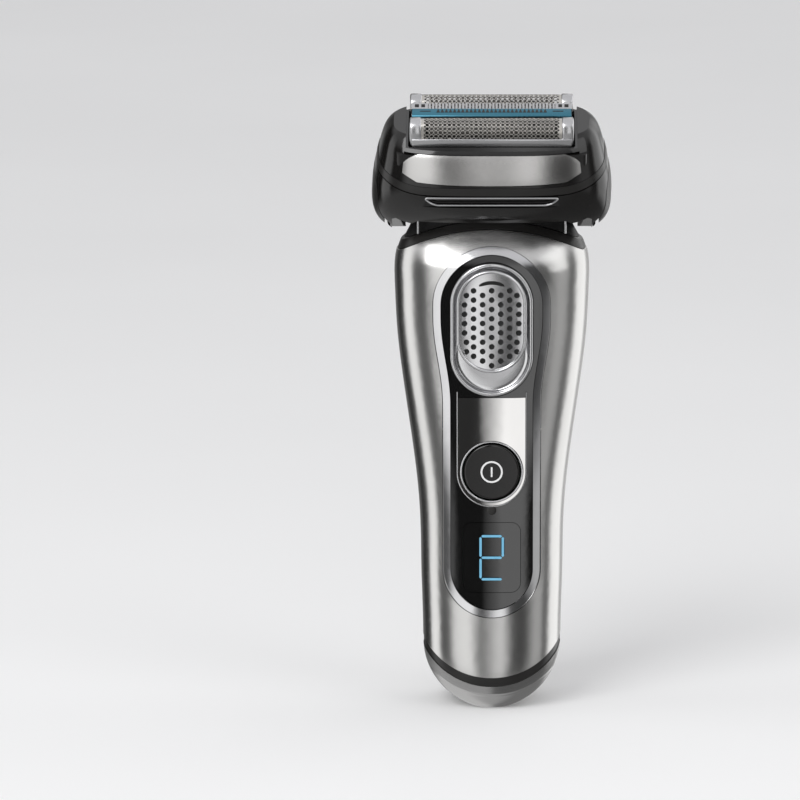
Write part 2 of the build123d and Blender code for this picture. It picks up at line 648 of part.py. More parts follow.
with BuildPart() as board_screws:
    with BuildSketch(Plane.XZ.offset(-BOARD_Y)):
        with Locations((-BOARD_HALF + 2, BOARD_LOW + 2), (BOARD_HALF - 2, BOARD_LOW + 2),
                       (-BOARD_HALF + 2, BOARD_HIGH - 2), (BOARD_HALF - 2, BOARD_HIGH - 2)):
            Circle(1.5)
    extrude(amount=0.9)
    with BuildSketch(Plane.XZ.offset(-BOARD_Y)):
        with Locations((-BOARD_HALF + 2, BOARD_LOW + 2), (BOARD_HALF - 2, BOARD_LOW + 2),
                       (-BOARD_HALF + 2, BOARD_HIGH - 2), (BOARD_HALF - 2, BOARD_HIGH - 2)):
            Circle(0.75)
    extrude(amount=-(BOARD_THICK + 1.6 + 1.2))
save(board_screws, "board_screws")

with BuildPart() as battery_cell:
    with BuildSketch(Plane.XY.offset(BATTERY_BOTTOM)):
        with Locations((0, BATTERY_Y)):
            Circle(BATTERY_R)
    extrude(amount=BATTERY_LENGTH - 1)
    fillet(battery_cell.edges().filter_by(GeomType.CIRCLE), 0.8)
    with BuildSketch(Plane.XY.offset(BATTERY_BOTTOM + BATTERY_LENGTH - 1)):
        with Locations((0, BATTERY_Y)):
            Circle(2.6)
    extrude(amount=0.8)
save(battery_cell, "battery_cell")

with BuildPart() as battery_tabs:
    with BuildSketch(Plane.XY.offset(BATTERY_BOTTOM - 0.2)):
        with Locations((0, BATTERY_Y)):
            Rectangle(5, 8)
    extrude(amount=-0.3)
    with BuildSketch(Plane.XY.offset(BATTERY_BOTTOM + BATTERY_LENGTH + 0.1)):
        with Locations((0, BATTERY_Y)):
            Rectangle(5, 8)
    extrude(amount=0.3)
save(battery_tabs, "battery_tabs")

# ================================================================ neck
UPRIGHT_HALF_Y, UPRIGHT_TOP_R = 5.0, 4.6
UPRIGHT_IN = NECK_HALF_WIDTH - 4.5
with BuildPart() as neck_block:
    add(handle_body(0.9))
    with BuildSketch(Plane.XY.offset(HANDLE_TOP - 16)):
        Rectangle(2 * FAR, 2 * FAR)
    extrude(amount=-FAR - HANDLE_TOP, mode=Mode.SUBTRACT)
    add(above_arch(COLLAR_HEIGHT + 0.1), mode=Mode.INTERSECT)
    add(handle_body(WALL + 2.6), mode=Mode.SUBTRACT)
    with BuildSketch(Plane.XY.offset(HANDLE_TOP - 1.6)):
        RectangleRounded(2 * NECK_HALF_WIDTH - 4, 2 * NECK_HALF_DEPTH - 4, 4)
    extrude(amount=1.6)
    for side in (-1, 1):
        with BuildSketch(Plane.YZ.offset(side * UPRIGHT_IN)):
            with Locations((0, PIVOT_Z)):
                Circle(UPRIGHT_TOP_R)
            with Locations((0, (PIVOT_Z + HANDLE_TOP - 1) / 2)):
                Rectangle(2 * UPRIGHT_TOP_R, PIVOT_Z - HANDLE_TOP + 1)
        extrude(amount=side * (NECK_HALF_WIDTH - 0.9 - UPRIGHT_IN))
    with BuildSketch(Plane.YZ):
        with Locations((0, PIVOT_Z)):
            Circle(PIN_R)
    extrude(amount=FAR, both=True, mode=Mode.SUBTRACT)
save(neck_block, "neck_block")

with BuildPart() as neck_gasket:
    with BuildSketch(Plane.XY.offset(HANDLE_TOP)):
        RectangleRounded(2 * UPRIGHT_IN - 2, 2 * NECK_HALF_DEPTH - 6, 3)
        RectangleRounded(2 * UPRIGHT_IN - 6, 2 * NECK_HALF_DEPTH - 10, 2, mode=Mode.SUBTRACT)
    extrude(amount=0.6)
save(neck_gasket, "neck_gasket")

PIN_END = CAVITY_HALF + 3.2
with BuildPart() as pivot_pins:
    for side in (-1, 1):
        with BuildSketch(Plane.YZ.offset(side * (UPRIGHT_IN + 0.5))):
            with Locations((0, PIVOT_Z)):
                Circle(PIN_R)
        extrude(amount=side * (PIN_END - UPRIGHT_IN - 0.5))
save(pivot_pins, "pivot_pins")

# ================================================================ head
# Rows of: height above the swivel axis, inset from the full half width, inset from the full depth.
HEAD_ROWS = ((-6.4, 6.6, 12.0), (-4.6, 3.8, 8.6), (-1.8, 1.5, 5.2), (1.6, 0.2, 2.6), (5.5, 0.0, 0.9),
             (9.5, 0.4, 0.1), (13.5, 1.2, 0.3), (17.5, 2.2, 1.2), (21.3, 3.4, 3.2),
             (HEAD_TOP_W, 5.9, 6.6))


@lru_cache(maxsize=None)
def head_body(inset):
    """The outer form of the head and cassette together."""
    with BuildPart() as body:
        for w, narrow, shallow in HEAD_ROWS:
            half_y = HEAD_HALF_DEPTH - shallow - inset
            with BuildSketch(HEAD.offset(w)):
                with BuildLine():
                    Spline(ring_points(HEAD_HALF_WIDTH - narrow - inset, half_y, half_y, HEAD_POWER, 28),
                           periodic=True)
                make_face()
        loft()
    return body.part


def cassette_region(lift):
    """Everything above the joint between the head's base and the cassette, raised by lift."""
    low, side, corner = CASSETTE_W + lift, CASSETTE_W + CASSETTE_RISE + lift, 17.0
    with BuildPart(mode=Mode.PRIVATE) as region:
        with BuildSketch(HEAD_FRONT):
            with BuildLine():
                Line((-corner, low), (corner, low))
                Spline((corner, low), (HEAD_HALF_WIDTH + 2, side), tangents=[(1, 0), (1, 0.9)])
                Polyline((HEAD_HALF_WIDTH + 2, side), (FAR, side), (FAR, FAR), (-FAR, FAR), (-FAR, side),
                         (-HEAD_HALF_WIDTH - 2, side))
                Spline((-HEAD_HALF_WIDTH - 2, side), (-corner, low), tangents=[(1, -0.9), (1, 0)])
            make_face()
        extrude(amount=FAR, both=True)
    return region.part


def head_box(x0, x1, u0, u1, w0, w1, radius=0.0):
    """Block in the head's own frame, with rounded upright corners."""
    with BuildPart(mode=Mode.PRIVATE) as block:
        with BuildSketch(HEAD.offset(w0)):
            with Locations(((x0 + x1) / 2, (u0 + u1) / 2)):
                if radius:
                    RectangleRounded(x1 - x0, u1 - u0, radius)
                else:
                    Rectangle(x1 - x0, u1 - u0)
        extrude(amount=w1 - w0)
    return block.part


def side_prism(grow, start, side):
    """A release button's side outline, carried outwards along X from start."""
    with BuildPart(mode=Mode.PRIVATE) as prism:
        with BuildSketch(Plane(origin=(side * start, 0, PIVOT_Z), x_dir=(0, cos(TILT), sin(TILT)),
                               z_dir=(1, 0, 0))):
            with Locations((0, 3.4)):
                RectangleRounded(19 + 2 * grow, 15.6 + 2 * grow, 5 + grow)
        extrude(amount=side * 12)
    return prism.part


POCKET_X = BUTTON_X - BUTTON_TRAVEL - RUN
OPENING_HALF = FOIL_HALF + RUN             # the well in the cassette that the foils float in
OPENING_U = FOIL_U + FOIL_FRAME_HALF + RUN
CORE_HALF, CORE_U = OPENING_HALF + 3.0, OPENING_U + 2.0
with BuildPart() as head_base:
    add(head_body(0))
    add(cassette_region(-RUN / 2), mode=Mode.SUBTRACT)
    add(head_box(-CAVITY_HALF, CAVITY_HALF, -CAVITY_HALF_DEPTH, CAVITY_HALF_DEPTH, -FAR, FLOOR_W, 3),
        mode=Mode.SUBTRACT)
    # The middle of the underside stops at the chin, and the lobes round off about the swivel axis.
    with BuildSketch(HEAD_FRONT):
        with BuildLine():
            Polyline((-CAVITY_HALF, -FAR), (-CAVITY_HALF, CHIN_W - 3), (-CAVITY_HALF + 3, CHIN_W),
                     (CAVITY_HALF - 3, CHIN_W), (CAVITY_HALF, CHIN_W - 3), (CAVITY_HALF, -FAR),
                     close=True)
        make_face()
    extrude(amount=FAR, both=True, mode=Mode.SUBTRACT)
    swing = radians(SWIVEL)
    edge_y, edge_z = LOBE_CLEAR_R * sin(swing), -LOBE_CLEAR_R * cos(swing)
    reach_y = CAVITY_HALF_DEPTH - 0.8
    far_z = (reach_y * sin(swing) - LOBE_CLEAR_R) / cos(swing)
    with BuildSketch(Plane.YZ.offset(-TOP_HALF_WIDTH - 0.6)):
        with BuildLine():
            Polyline((edge_y, PIVOT_Z + edge_z), (reach_y, PIVOT_Z + far_z), (reach_y, PIVOT_Z - FAR),
                     (-reach_y, PIVOT_Z - FAR), (-reach_y, PIVOT_Z + far_z), (-edge_y, PIVOT_Z + edge_z))
            ThreePointArc((-edge_y, PIVOT_Z + edge_z), (0, PIVOT_Z - LOBE_CLEAR_R),
                          (edge_y, PIVOT_Z + edge_z))
        make_face()
    extrude(amount=2 * TOP_HALF_WIDTH + 1.2, mode=Mode.SUBTRACT)
    for side in (-1, 1):
        add(side_prism(RUN, POCKET_X, side), mode=Mode.SUBTRACT)
    with BuildSketch(Plane.YZ):
        with Locations((0, PIVOT_Z)):
            Circle(PIN_R + PIN_FIT)
    extrude(amount=PIN_END + 0.4, both=True, mode=Mode.SUBTRACT)
    add(head_box(-CORE_HALF - RUN, CORE_HALF + RUN, -CORE_U - RUN, CORE_U + RUN,
                 FLOOR_W + FLOOR_THICK, FAR, 1 + RUN), mode=Mode.SUBTRACT)
    with BuildSketch(HEAD.offset(FLOOR_W - 1)):
        with Locations((0, -FOIL_U), (0, FOIL_U)):
            SlotOverall(2 * (DRIVE_PIN_R + STROKE + RUN + 0.3), 2 * (DRIVE_PIN_R + RUN))
    extrude(amount=FLOOR_THICK + 2, mode=Mode.SUBTRACT)
    GRIP_W = 8.4
    with BuildSketch(HEAD_FRONT.offset(HEAD_HALF_DEPTH - 1.3)):
        with Locations((0, GRIP_W)):
            Trapezoid(36, 2.6, 110, rotation=180)
    extrude(amount=6, mode=Mode.SUBTRACT)
save(head_base, "head_base")

with BuildPart() as base_trim:
    with BuildSketch(HEAD_FRONT.offset(HEAD_HALF_DEPTH - 1.3 + 0.02)):
        with Locations((0, GRIP_W)):
            Trapezoid(36 - 0.1, 2.6 - 0.1, 110, rotation=180)
            Trapezoid(36 - 2.4, 2.6 - 1.1, 110, rotation=180, mode=Mode.SUBTRACT)
    extrude(amount=0.7)
save(base_trim, "base_trim")

for side, label in ((-1, "release_button_left"), (1, "release_button_right")):
    with BuildPart() as release_button:
        add(head_body(0))
        add(side_prism(0, BUTTON_X, side), mode=Mode.INTERSECT)
        add(cassette_region(-RUN), mode=Mode.SUBTRACT)
    save(release_button, label)

with BuildPart() as release_springs:
    for side in (-1, 1):
        with BuildSketch(Plane(origin=(side * (POCKET_X + 0.01), 0, PIVOT_Z), z_dir=(1, 0, 0),
                               x_dir=(0, cos(TILT), sin(TILT)))):
            with Locations((-6.0, 6.0), (6.0, 6.0)):
                Circle(1.5)
                Circle(1.0, mode=Mode.SUBTRACT)
        extrude(amount=side * 0.28)
save(release_springs, "release_springs")

# Linear drive under the head's floor.
STATOR_W0, STATOR_W1 = 2.8, 4.8
STATOR_HALF_U = 4.9
with BuildPart() as motor_stator:
    add(head_box(-13, 13, -STATOR_HALF_U, STATOR_HALF_U, STATOR_W0, STATOR_W1, 1.5))
    add(head_box(-11.5, 11.5, 0.7 - STATOR_HALF_U, STATOR_HALF_U - 0.7, STATOR_W0 + 0.8, STATOR_W1 + 1, 1),
        mode=Mode.SUBTRACT)
    for side in (-1, 1):
        add(head_box(side * 12 - 1, side * 12 + 1, -7.5, -4.5, STATOR_W1 - 0.8, FLOOR_W))
        add(head_box(side * 12 - 1, side * 12 + 1, 4.5, 7.5, STATOR_W1 - 0.8, FLOOR_W))
save(motor_stator, "motor_stator")

with BuildPart() as motor_coil:
    with BuildSketch(HEAD.offset(STATOR_W0 + 0.8)):
        RectangleRounded(20, 8, 2.5)
        RectangleRounded(12, 3, 1, mode=Mode.SUBTRACT)
    extrude(amount=STATOR_W1 - STATOR_W0 - 1.2)
save(motor_coil, "motor_coil")

OSC_W0, OSC_W1 = STATOR_W1 + 0.5, FLOOR_W - 0.7
with BuildPart() as motor_oscillator:
    add(head_box(-8, 8, -FOIL_U - 2.2, FOIL_U + 2.2, OSC_W0, OSC_W1, 1.5))
    add(head_box(-6.5, 6.5, -4.5, 4.5, OSC_W0 - 1, OSC_W0 + 1.2, 1), mode=Mode.SUBTRACT)
save(motor_oscillator, "motor_oscillator")

PIN_TOP_W = 14.5
with BuildPart() as drive_pins:
    with BuildSketch(HEAD.offset(OSC_W1)):
        with Locations((0, -FOIL_U), (0, FOIL_U)):
            Circle(DRIVE_PIN_R)
    extrude(amount=PIN_TOP_W - OSC_W1)
    fillet(drive_pins.faces().group_by(Axis.Z)[-1].edges(), 0.5)
save(drive_pins, "drive_pins")

with BuildPart() as motor_springs:
    for side in (-1, 1):
        add(head_box(side * 10.4 - 0.2, side * 10.4 + 0.2, -3.5, 3.5, OSC_W0, FLOOR_W))
save(motor_springs, "motor_springs")

# ================================================================ cassette


def panel_sketch(grow):
    """Face of the cassette's front panel: wide at the top, with its lower corners cut off."""
    top, corner, low = 22.8 + grow, 23.4 + grow, 19.6 + grow
    w_top, w_corner, w_low = RIM_W - 0.9 + grow, CASSETTE_W + 5.4, CASSETTE_W + CASSETTE_BAND + 1.2 - grow
    with BuildSketch(HEAD_FRONT) as face:
        with BuildLine():
            Polyline((-low, w_low), (-corner, w_corner), (-top, w_top), (top, w_top),
                     (corner, w_corner), (low, w_low))
            ThreePointArc((low, w_low), (0, w_low - 0.5), (-low, w_low))
        make_face()
    return face.sketch


def panel_prism(grow, direction):
    with BuildPart(mode=Mode.PRIVATE) as prism:
        extrude(panel_sketch(grow), amount=direction * FAR)
    return prism.part


with BuildPart() as cassette_frame:
    add(head_body(0))
    add(cassette_region(CASSETTE_BAND + 0.05), mode=Mode.INTERSECT)
    add(head_box(-OPENING_HALF, OPENING_HALF, -OPENING_U, OPENING_U, -FAR, FAR, 1),
        mode=Mode.SUBTRACT)
    add(head_box(-OPENING_HALF - 0.6, OPENING_HALF + 0.6, -FAR, FAR, RIM_W, FAR), mode=Mode.SUBTRACT)
    add(panel_prism(FIT, 1), mode=Mode.SUBTRACT)
    add(panel_prism(FIT, -1), mode=Mode.SUBTRACT)
    add(head_box(-CORE_HALF, CORE_HALF, -CORE_U, CORE_U, CASSETTE_W, RIM_W - 1.2, 1))
    add(head_box(-OPENING_HALF, OPENING_HALF, -OPENING_U, OPENING_U, -FAR, FAR, 1),
        mode=Mode.SUBTRACT)
    for side in (-1, 1):
        low, high = sorted((side * (OPENING_HALF - 4.4), side * (OPENING_HALF + 0.5)))
        add(head_box(low, high, -OPENING_U - 0.5, OPENING_U + 0.5, CASSETTE_W + 3.0, CASSETTE_W + 4.2))
save(cassette_frame, "cassette_frame")

with BuildPart() as cassette_band:
    add(head_body(-0.1))
    add(cassette_region(RUN / 2), mode=Mode.INTERSECT)
    add(cassette_region(CASSETTE_BAND), mode=Mode.SUBTRACT)
    add(head_box(-CORE_HALF - FIT, CORE_HALF + FIT, -CORE_U - FIT, CORE_U + FIT, -FAR, FAR, 1),
        mode=Mode.SUBTRACT)
save(cassette_band, "cassette_band")

for direction, label in ((1, "cassette_front_panel"), (-1, "cassette_rear_panel")):
    with BuildPart() as panel:
        add(panel_prism(0, direction))
        add(head_body(0), mode=Mode.INTERSECT)
        add(head_box(-FAR, FAR, -CORE_U - FIT, CORE_U + FIT, -FAR, FAR), mode=Mode.SUBTRACT)
    save(panel, label)


def foil_profile(u, radius):
    """Arched section of a foil on the head's side plane."""
    middle = FOIL_TOP_W - FOIL_R
    with BuildSketch(HEAD_SIDE) as arch:
        with Locations((u, middle)):
            Circle(radius)
        with Locations((u, (middle + FOIL_FRAME_BOTTOM + 1) / 2)):
            Rectangle(2 * radius, middle - FOIL_FRAME_BOTTOM - 1)
    return arch.sketch


for u, name in ((-FOIL_U, "front"), (FOIL_U, "rear")):
    with BuildPart() as foil:
        extrude(foil_profile(u, FOIL_R), amount=FOIL_MESH_HALF + 0.8, both=True)
        extrude(foil_profile(u, FOIL_R - FOIL_SKIN), amount=FAR, both=True, mode=Mode.SUBTRACT)
        add(head_box(-FAR, FAR, -FAR, FAR, 0, FOIL_FRAME_BOTTOM + 1.2), mode=Mode.SUBTRACT)
    save(foil, f"{name}_foil")

    with BuildPart() as foil_frame:
        add(head_box(-FOIL_HALF, FOIL_HALF, u - FOIL_FRAME_HALF, u + FOIL_FRAME_HALF,
                     FOIL_FRAME_BOTTOM, FOIL_FRAME_TOP, 0.8))
        for side in (-1, 1):
            with BuildSketch(Plane(origin=(side * (FOIL_MESH_HALF + 0.9), 0, PIVOT_Z),
                                   x_dir=(0, cos(TILT), sin(TILT)), z_dir=(1, 0, 0))):
                with Locations((u, FOIL_TOP_W - FOIL_R - 0.2)):
                    Circle(FOIL_R - 0.1)
            extrude(amount=side * (FOIL_HALF - FOIL_MESH_HALF - 1.3))
        extrude(foil_profile(u, FOIL_R + 0.03), amount=FOIL_MESH_HALF + 0.85, both=True,
                mode=Mode.SUBTRACT)
        add(head_box(-FOIL_MESH_HALF - 0.85, FOIL_MESH_HALF + 0.85, u - FOIL_R + 0.1, u + FOIL_R - 0.1,
                     -FAR, FOIL_FRAME_TOP), mode=Mode.SUBTRACT)
    save(foil_frame, f"{name}_foil_frame")

    with BuildPart() as cutter:
        for k in range(CUTTER_FINS):
            x = -CUTTER_HALF + 2 * CUTTER_HALF * (k + 0.5) / CUTTER_FINS
            with BuildSketch(Plane(origin=(x, 0, PIVOT_Z), x_dir=(0, cos(TILT), sin(TILT)),
                                   z_dir=(1, 0, 0))):
                with Locations((u, FOIL_TOP_W - FOIL_R)):
                    Circle(CUTTER_R)
                with Locations((u, FOIL_TOP_W - FOIL_R - 3)):
                    Rectangle(10, 6, mode=Mode.SUBTRACT)
            extrude(amount=0.3, both=True)
        add(head_box(-CUTTER_HALF, CUTTER_HALF, u - 2.0, u + 2.0, FOIL_TOP_W - FOIL_R - 2.4,
                     FOIL_TOP_W - FOIL_R + 0.4))
        add(head_box(-4, 4, u - 2.2, u + 2.2, 12.6, FOIL_TOP_W - FOIL_R - 1, 0.8))
        with BuildSketch(HEAD.offset(12)):
            with Locations((0, u)):
                Circle(DRIVE_PIN_R + 0.08)
        extrude(amount=5.2, mode=Mode.SUBTRACT)
    save(cutter, f"{name}_cutter_block")

# Middle trimmers: a slotted comb and a thin guard with a toothed edge, each over its own blade.
TEETH = 40
with BuildPart() as trimmer_comb:
    add(head_box(-FOIL_HALF + 0.4, FOIL_HALF - 0.4, COMB_U[0], COMB_U[1], FOIL_FRAME_BOTTOM,
                 TRIMMER_TOP_W))
    add(head_box(-FOIL_MESH_HALF - 0.5, FOIL_MESH_HALF + 0.5, COMB_U[0] + 0.35, COMB_U[1] - 0.35,
                 FOIL_FRAME_BOTTOM - 1, TRIMMER_TOP_W - 0.5), mode=Mode.SUBTRACT)
    with BuildSketch(HEAD.offset(TRIMMER_TOP_W - 1.1)):
        with Locations((0, (COMB_U[0] + COMB_U[1]) / 2)):
            with GridLocations(2 * (FOIL_MESH_HALF - 1.6) / (TEETH - 1), 1, TEETH, 1):
                Rectangle(0.45, COMB_U[1] - COMB_U[0] - 0.5)
    extrude(amount=2, mode=Mode.SUBTRACT)
save(trimmer_comb, "trimmer_comb")

with BuildPart() as skin_guard:
    add(head_box(-FOIL_HALF + 0.6, FOIL_HALF - 0.6, GUARD_U[0], GUARD_U[1], FOIL_FRAME_BOTTOM,
                 TRIMMER_TOP_W - 0.1))
    add(head_box(-FOIL_MESH_HALF - 0.5, FOIL_MESH_HALF + 0.5, GUARD_U[0] + 0.5, GUARD_U[1] - 0.5,
                 FOIL_FRAME_BOTTOM - 1, TRIMMER_TOP_W - 0.8), mode=Mode.SUBTRACT)
    with BuildSketch(HEAD.offset(TRIMMER_TOP_W - 1.1)):
        with Locations((0, GUARD_U[1] - 0.6)):
            with GridLocations(2 * (FOIL_MESH_HALF - 4.4) / 25, 1, 26, 1):
                Triangle(a=0.95, b=1.35, c=1.35)
    extrude(amount=2, mode=Mode.SUBTRACT)
save(skin_guard, "skin_guard")

BLADE_W0 = FOIL_FRAME_BOTTOM + 1.5
for (u0, u1), top, label in ((COMB_U, TRIMMER_TOP_W - 0.5, "comb_blade"),
                             (GUARD_U, TRIMMER_TOP_W - 0.8, "guard_blade")):
    with BuildPart() as blade:
        add(head_box(-CUTTER_HALF, CUTTER_HALF, u0 + 0.75, u1 - 0.75, BLADE_W0, top - RUN))
        with BuildSketch(HEAD.offset(top - 2)):
            with Locations((0, (u0 + u1) / 2)):
                with GridLocations(2 * CUTTER_HALF / 25, 1, 26, 1):
                    Rectangle(0.5, 5)
        extrude(amount=3, mode=Mode.SUBTRACT)
    save(blade, label)

with BuildPart() as float_springs:
    for u in (-FOIL_U, (COMB_U[1] + GUARD_U[0]) / 2, FOIL_U):
        for side in (-1, 1):
            x = side * (FOIL_HALF - 2.2)
            add(head_box(x - 1.4, x + 1.4, u - 1.6, u + 1.6, CASSETTE_W + 4.2, CASSETTE_W + 4.6))
            add(head_box(x - 0.5, x + 0.5, u - 1.2, u + 1.2, CASSETTE_W + 4.6,
                         FOIL_FRAME_BOTTOM - FLOAT - RUN))
save(float_springs, "float_springs")

# ================================================================ rear trimmer
with BuildPart() as trimmer_slider:
    with BuildSketch(Plane.XZ.offset(-TRACK_Y - RUN - TRIM_THICK)):
        with Locations((0, TRIM_TOP - TRIM_LENGTH / 2)):
            RectangleRounded(2 * TRIM_HALF, TRIM_LENGTH, 3)
    extrude(amount=TRIM_THICK)
    fillet(trimmer_slider.faces().sort_by(Axis.Y)[-1].edges(), 0.8)
    with BuildSketch(Plane.XZ.offset(-TRACK_Y - RUN - TRIM_THICK - 0.01)):
        with Locations((0, TRIM_TOP - TRIM_LENGTH + 9)):
            with GridLocations(1, 2.2, 1, 5):
                SlotOverall(14, 1.1)
    extrude(amount=0.7, mode=Mode.SUBTRACT)
    with BuildSketch(Plane.XZ.offset(-TRACK_Y - RUN - TRIM_THICK + 0.4)):
        with Locations((0, TRIM_TOP - 2)):
            Rectangle(2 * TRIM_HALF - 3, 5)
    extrude(amount=1.4, mode=Mode.SUBTRACT)
save(trimmer_slider, "trimmer_slider")

COMB_Y = TRACK_Y + RUN + TRIM_THICK - 0.4
with BuildPart() as hair_comb:
    with BuildSketch(Plane.XZ.offset(-COMB_Y)):
        with Locations((0, TRIM_TOP - 1.2)):
            Rectangle(2 * TRIM_HALF - 3.4, 6)
    extrude(amount=0.6)
    with BuildSketch(Plane.XZ.offset(-COMB_Y - 1)):
        with Locations((0, TRIM_TOP + 1.4)):
            with GridLocations((2 * TRIM_HALF - 3.4) / 20, 1, 20, 1):
                Rectangle(0.55, 3)
    extrude(amount=3, mode=Mode.SUBTRACT)
save(hair_comb, "hair_comb")

with BuildPart() as hair_blade:
    with BuildSketch(Plane.XZ.offset(-COMB_Y + 0.6)):
        with Locations((0, TRIM_TOP - 1.3)):
            Rectangle(2 * TRIM_HALF - 3 - 2 * (TRIM_STROKE + RUN), 5.4)
    extrude(amount=0.5)
    with BuildSketch(Plane.XZ.offset(-COMB_Y)):
        with Locations((0, TRIM_TOP + 1.2)):
            with GridLocations((2 * TRIM_HALF - 6) / 16, 1, 16, 1):
                Rectangle(0.6, 2.6)
    extrude(amount=3, mode=Mode.SUBTRACT)
save(hair_blade, "hair_blade")
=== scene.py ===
"""Electric foil shaver: finishes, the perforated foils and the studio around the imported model."""
import json
from math import cos, pi, radians, sin

import bmesh
import bpy
from mathutils import Matrix, Vector


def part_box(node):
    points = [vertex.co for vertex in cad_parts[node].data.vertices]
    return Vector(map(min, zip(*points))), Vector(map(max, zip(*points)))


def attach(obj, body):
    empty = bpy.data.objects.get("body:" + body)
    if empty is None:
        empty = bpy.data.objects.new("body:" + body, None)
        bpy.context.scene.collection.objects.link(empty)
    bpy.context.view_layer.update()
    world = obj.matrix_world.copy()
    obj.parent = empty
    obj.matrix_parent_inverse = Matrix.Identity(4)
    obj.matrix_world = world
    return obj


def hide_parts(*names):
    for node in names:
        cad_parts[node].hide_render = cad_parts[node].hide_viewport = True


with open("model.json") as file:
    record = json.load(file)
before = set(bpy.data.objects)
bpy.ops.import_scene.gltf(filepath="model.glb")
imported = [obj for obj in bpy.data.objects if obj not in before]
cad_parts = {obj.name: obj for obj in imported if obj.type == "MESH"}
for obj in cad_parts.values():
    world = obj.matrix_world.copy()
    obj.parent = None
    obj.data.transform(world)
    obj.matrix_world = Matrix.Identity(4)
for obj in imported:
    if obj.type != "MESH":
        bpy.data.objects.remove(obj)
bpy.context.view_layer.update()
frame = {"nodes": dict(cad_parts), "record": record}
NODES = frame["nodes"]


# ------------------------------------------------------------------ finishes
def new_material(name):
    """An empty material with its shader and output, ready for a finish."""
    mat = bpy.data.materials.new(name)
    mat.use_nodes = True
    tree = mat.node_tree
    tree.nodes.clear()
    output = tree.nodes.new("ShaderNodeOutputMaterial")
    shader = tree.nodes.new("ShaderNodeBsdfPrincipled")
    tree.links.new(shader.outputs[0], output.inputs[0])
    return mat, tree, shader


def object_noise(tree, scale, detail=3.0, stretch=(1, 1, 1)):
    """Noise laid out on the piece's own coordinates."""
    place = tree.nodes.new("ShaderNodeTexCoord")
    mapping = tree.nodes.new("ShaderNodeMapping")
    mapping.inputs["Scale"].default_value = stretch
    noise = tree.nodes.new("ShaderNodeTexNoise")
    noise.inputs["Scale"].default_value = scale
    noise.inputs["Detail"].default_value = detail
    tree.links.new(place.outputs["Object"], mapping.inputs["Vector"])
    tree.links.new(mapping.outputs[0], noise.inputs["Vector"])
    return noise


def map_range(tree, source, start, end, to_start=0.0, to_end=1.0, smooth=False):
    """Map one range onto another, in a straight line or with soft ends."""
    node = tree.nodes.new("ShaderNodeMapRange")
    if smooth:
        node.interpolation_type = "SMOOTHSTEP"
    node.inputs["From Min"].default_value = start
    node.inputs["From Max"].default_value = end
    node.inputs["To Min"].default_value = to_start
    node.inputs["To Max"].default_value = to_end
    tree.links.new(source, node.inputs["Value"])
    return node.outputs[0]


def spread(tree, source, low, high):
    """Map the middle of a texture onto a narrow range."""
    return map_range(tree, source, 0.3, 0.7, low, high)


def vector_math(tree, operation, source, value=None):
    """One step of arithmetic on a place or a direction."""
    node = tree.nodes.new("ShaderNodeVectorMath")
    node.operation = operation
    if value:
        node.inputs[1].default_value = value
    tree.links.new(source, node.inputs[0])
    return node


def bump(tree, shader, source, strength, distance):
    """Fine relief that the light catches."""
    node = tree.nodes.new("ShaderNodeBump")
    node.inputs["Strength"].default_value = strength
    node.inputs["Distance"].default_value = distance
    tree.links.new(source, node.inputs["Height"])
    tree.links.new(node.outputs[0], shader.inputs["Normal"])


def tint(tree, shader, source, dark, light):
    """Colour that drifts between two close shades."""
    ramp = tree.nodes.new("ShaderNodeValToRGB")
    ramp.color_ramp.elements[0].position = 0.3
    ramp.color_ramp.elements[0].color = (*dark, 1)
    ramp.color_ramp.elements[1].position = 0.7
    ramp.color_ramp.elements[1].color = (*light, 1)
    tree.links.new(source, ramp.inputs[0])
    tree.links.new(ramp.outputs[0], shader.inputs["Base Color"])


def metal(name, dark, light, rough, grain=900, wear=40, depth=0.00001, stretch=(1, 1, 1)):
    """Plated or bare metal: fine grain, with handling marks that change its gloss."""
    mat, tree, shader = new_material(name)
    shader.inputs["Metallic"].default_value = 1.0
    marks = object_noise(tree, wear, 5)
    fine = object_noise(tree, grain, 2, stretch)
    tint(tree, shader, marks.outputs[0], dark, light)
    tree.links.new(spread(tree, marks.outputs[0], rough[0], rough[1]), shader.inputs["Roughness"])
    bump(tree, shader, fine.outputs[0], 0.25, depth)
    return mat


def plastic(name, dark, light, rough, grain=1400, depth=0.00002, coat=0.0, strength=0.3):
    """Moulded plastic or rubber: spark-eroded grain under a clear coat where it is glossy."""
    mat, tree, shader = new_material(name)
    shader.inputs["IOR"].default_value = 1.5
    shader.inputs["Coat Weight"].default_value = coat
    shader.inputs["Coat Roughness"].default_value = 0.04
    cloud = object_noise(tree, 60, 4)
    fine = object_noise(tree, grain, 2)
    tint(tree, shader, cloud.outputs[0], dark, light)
    tree.links.new(spread(tree, cloud.outputs[0], rough[0], rough[1]), shader.inputs["Roughness"])
    bump(tree, shader, fine.outputs[0], strength, depth)
    return mat


def glow(name, colour, strength):
    """A lit bar of the display, its base colour drifting a little at random."""
    mat, tree, shader = new_material(name)
    cloud = object_noise(tree, 500, 2)
    tint(tree, shader, cloud.outputs[0], tuple(0.85 * c for c in colour), colour)
    shader.inputs["Emission Color"].default_value = (*colour, 1)
    shader.inputs["Emission Strength"].default_value = strength
    shader.inputs["Roughness"].default_value = 0.3
    return mat


def retell_normal(tree, source, start, end):
    """The same normal, told in another space."""
    node = tree.nodes.new("ShaderNodeVectorTransform")
    node.vector_type = "NORMAL"
    node.convert_from = start
    node.convert_to = end
    tree.links.new(source, node.inputs[0])
    return node.outputs[0]


CROWN_KEPT = 0.25            # share of its sideways curve that a polished face shows


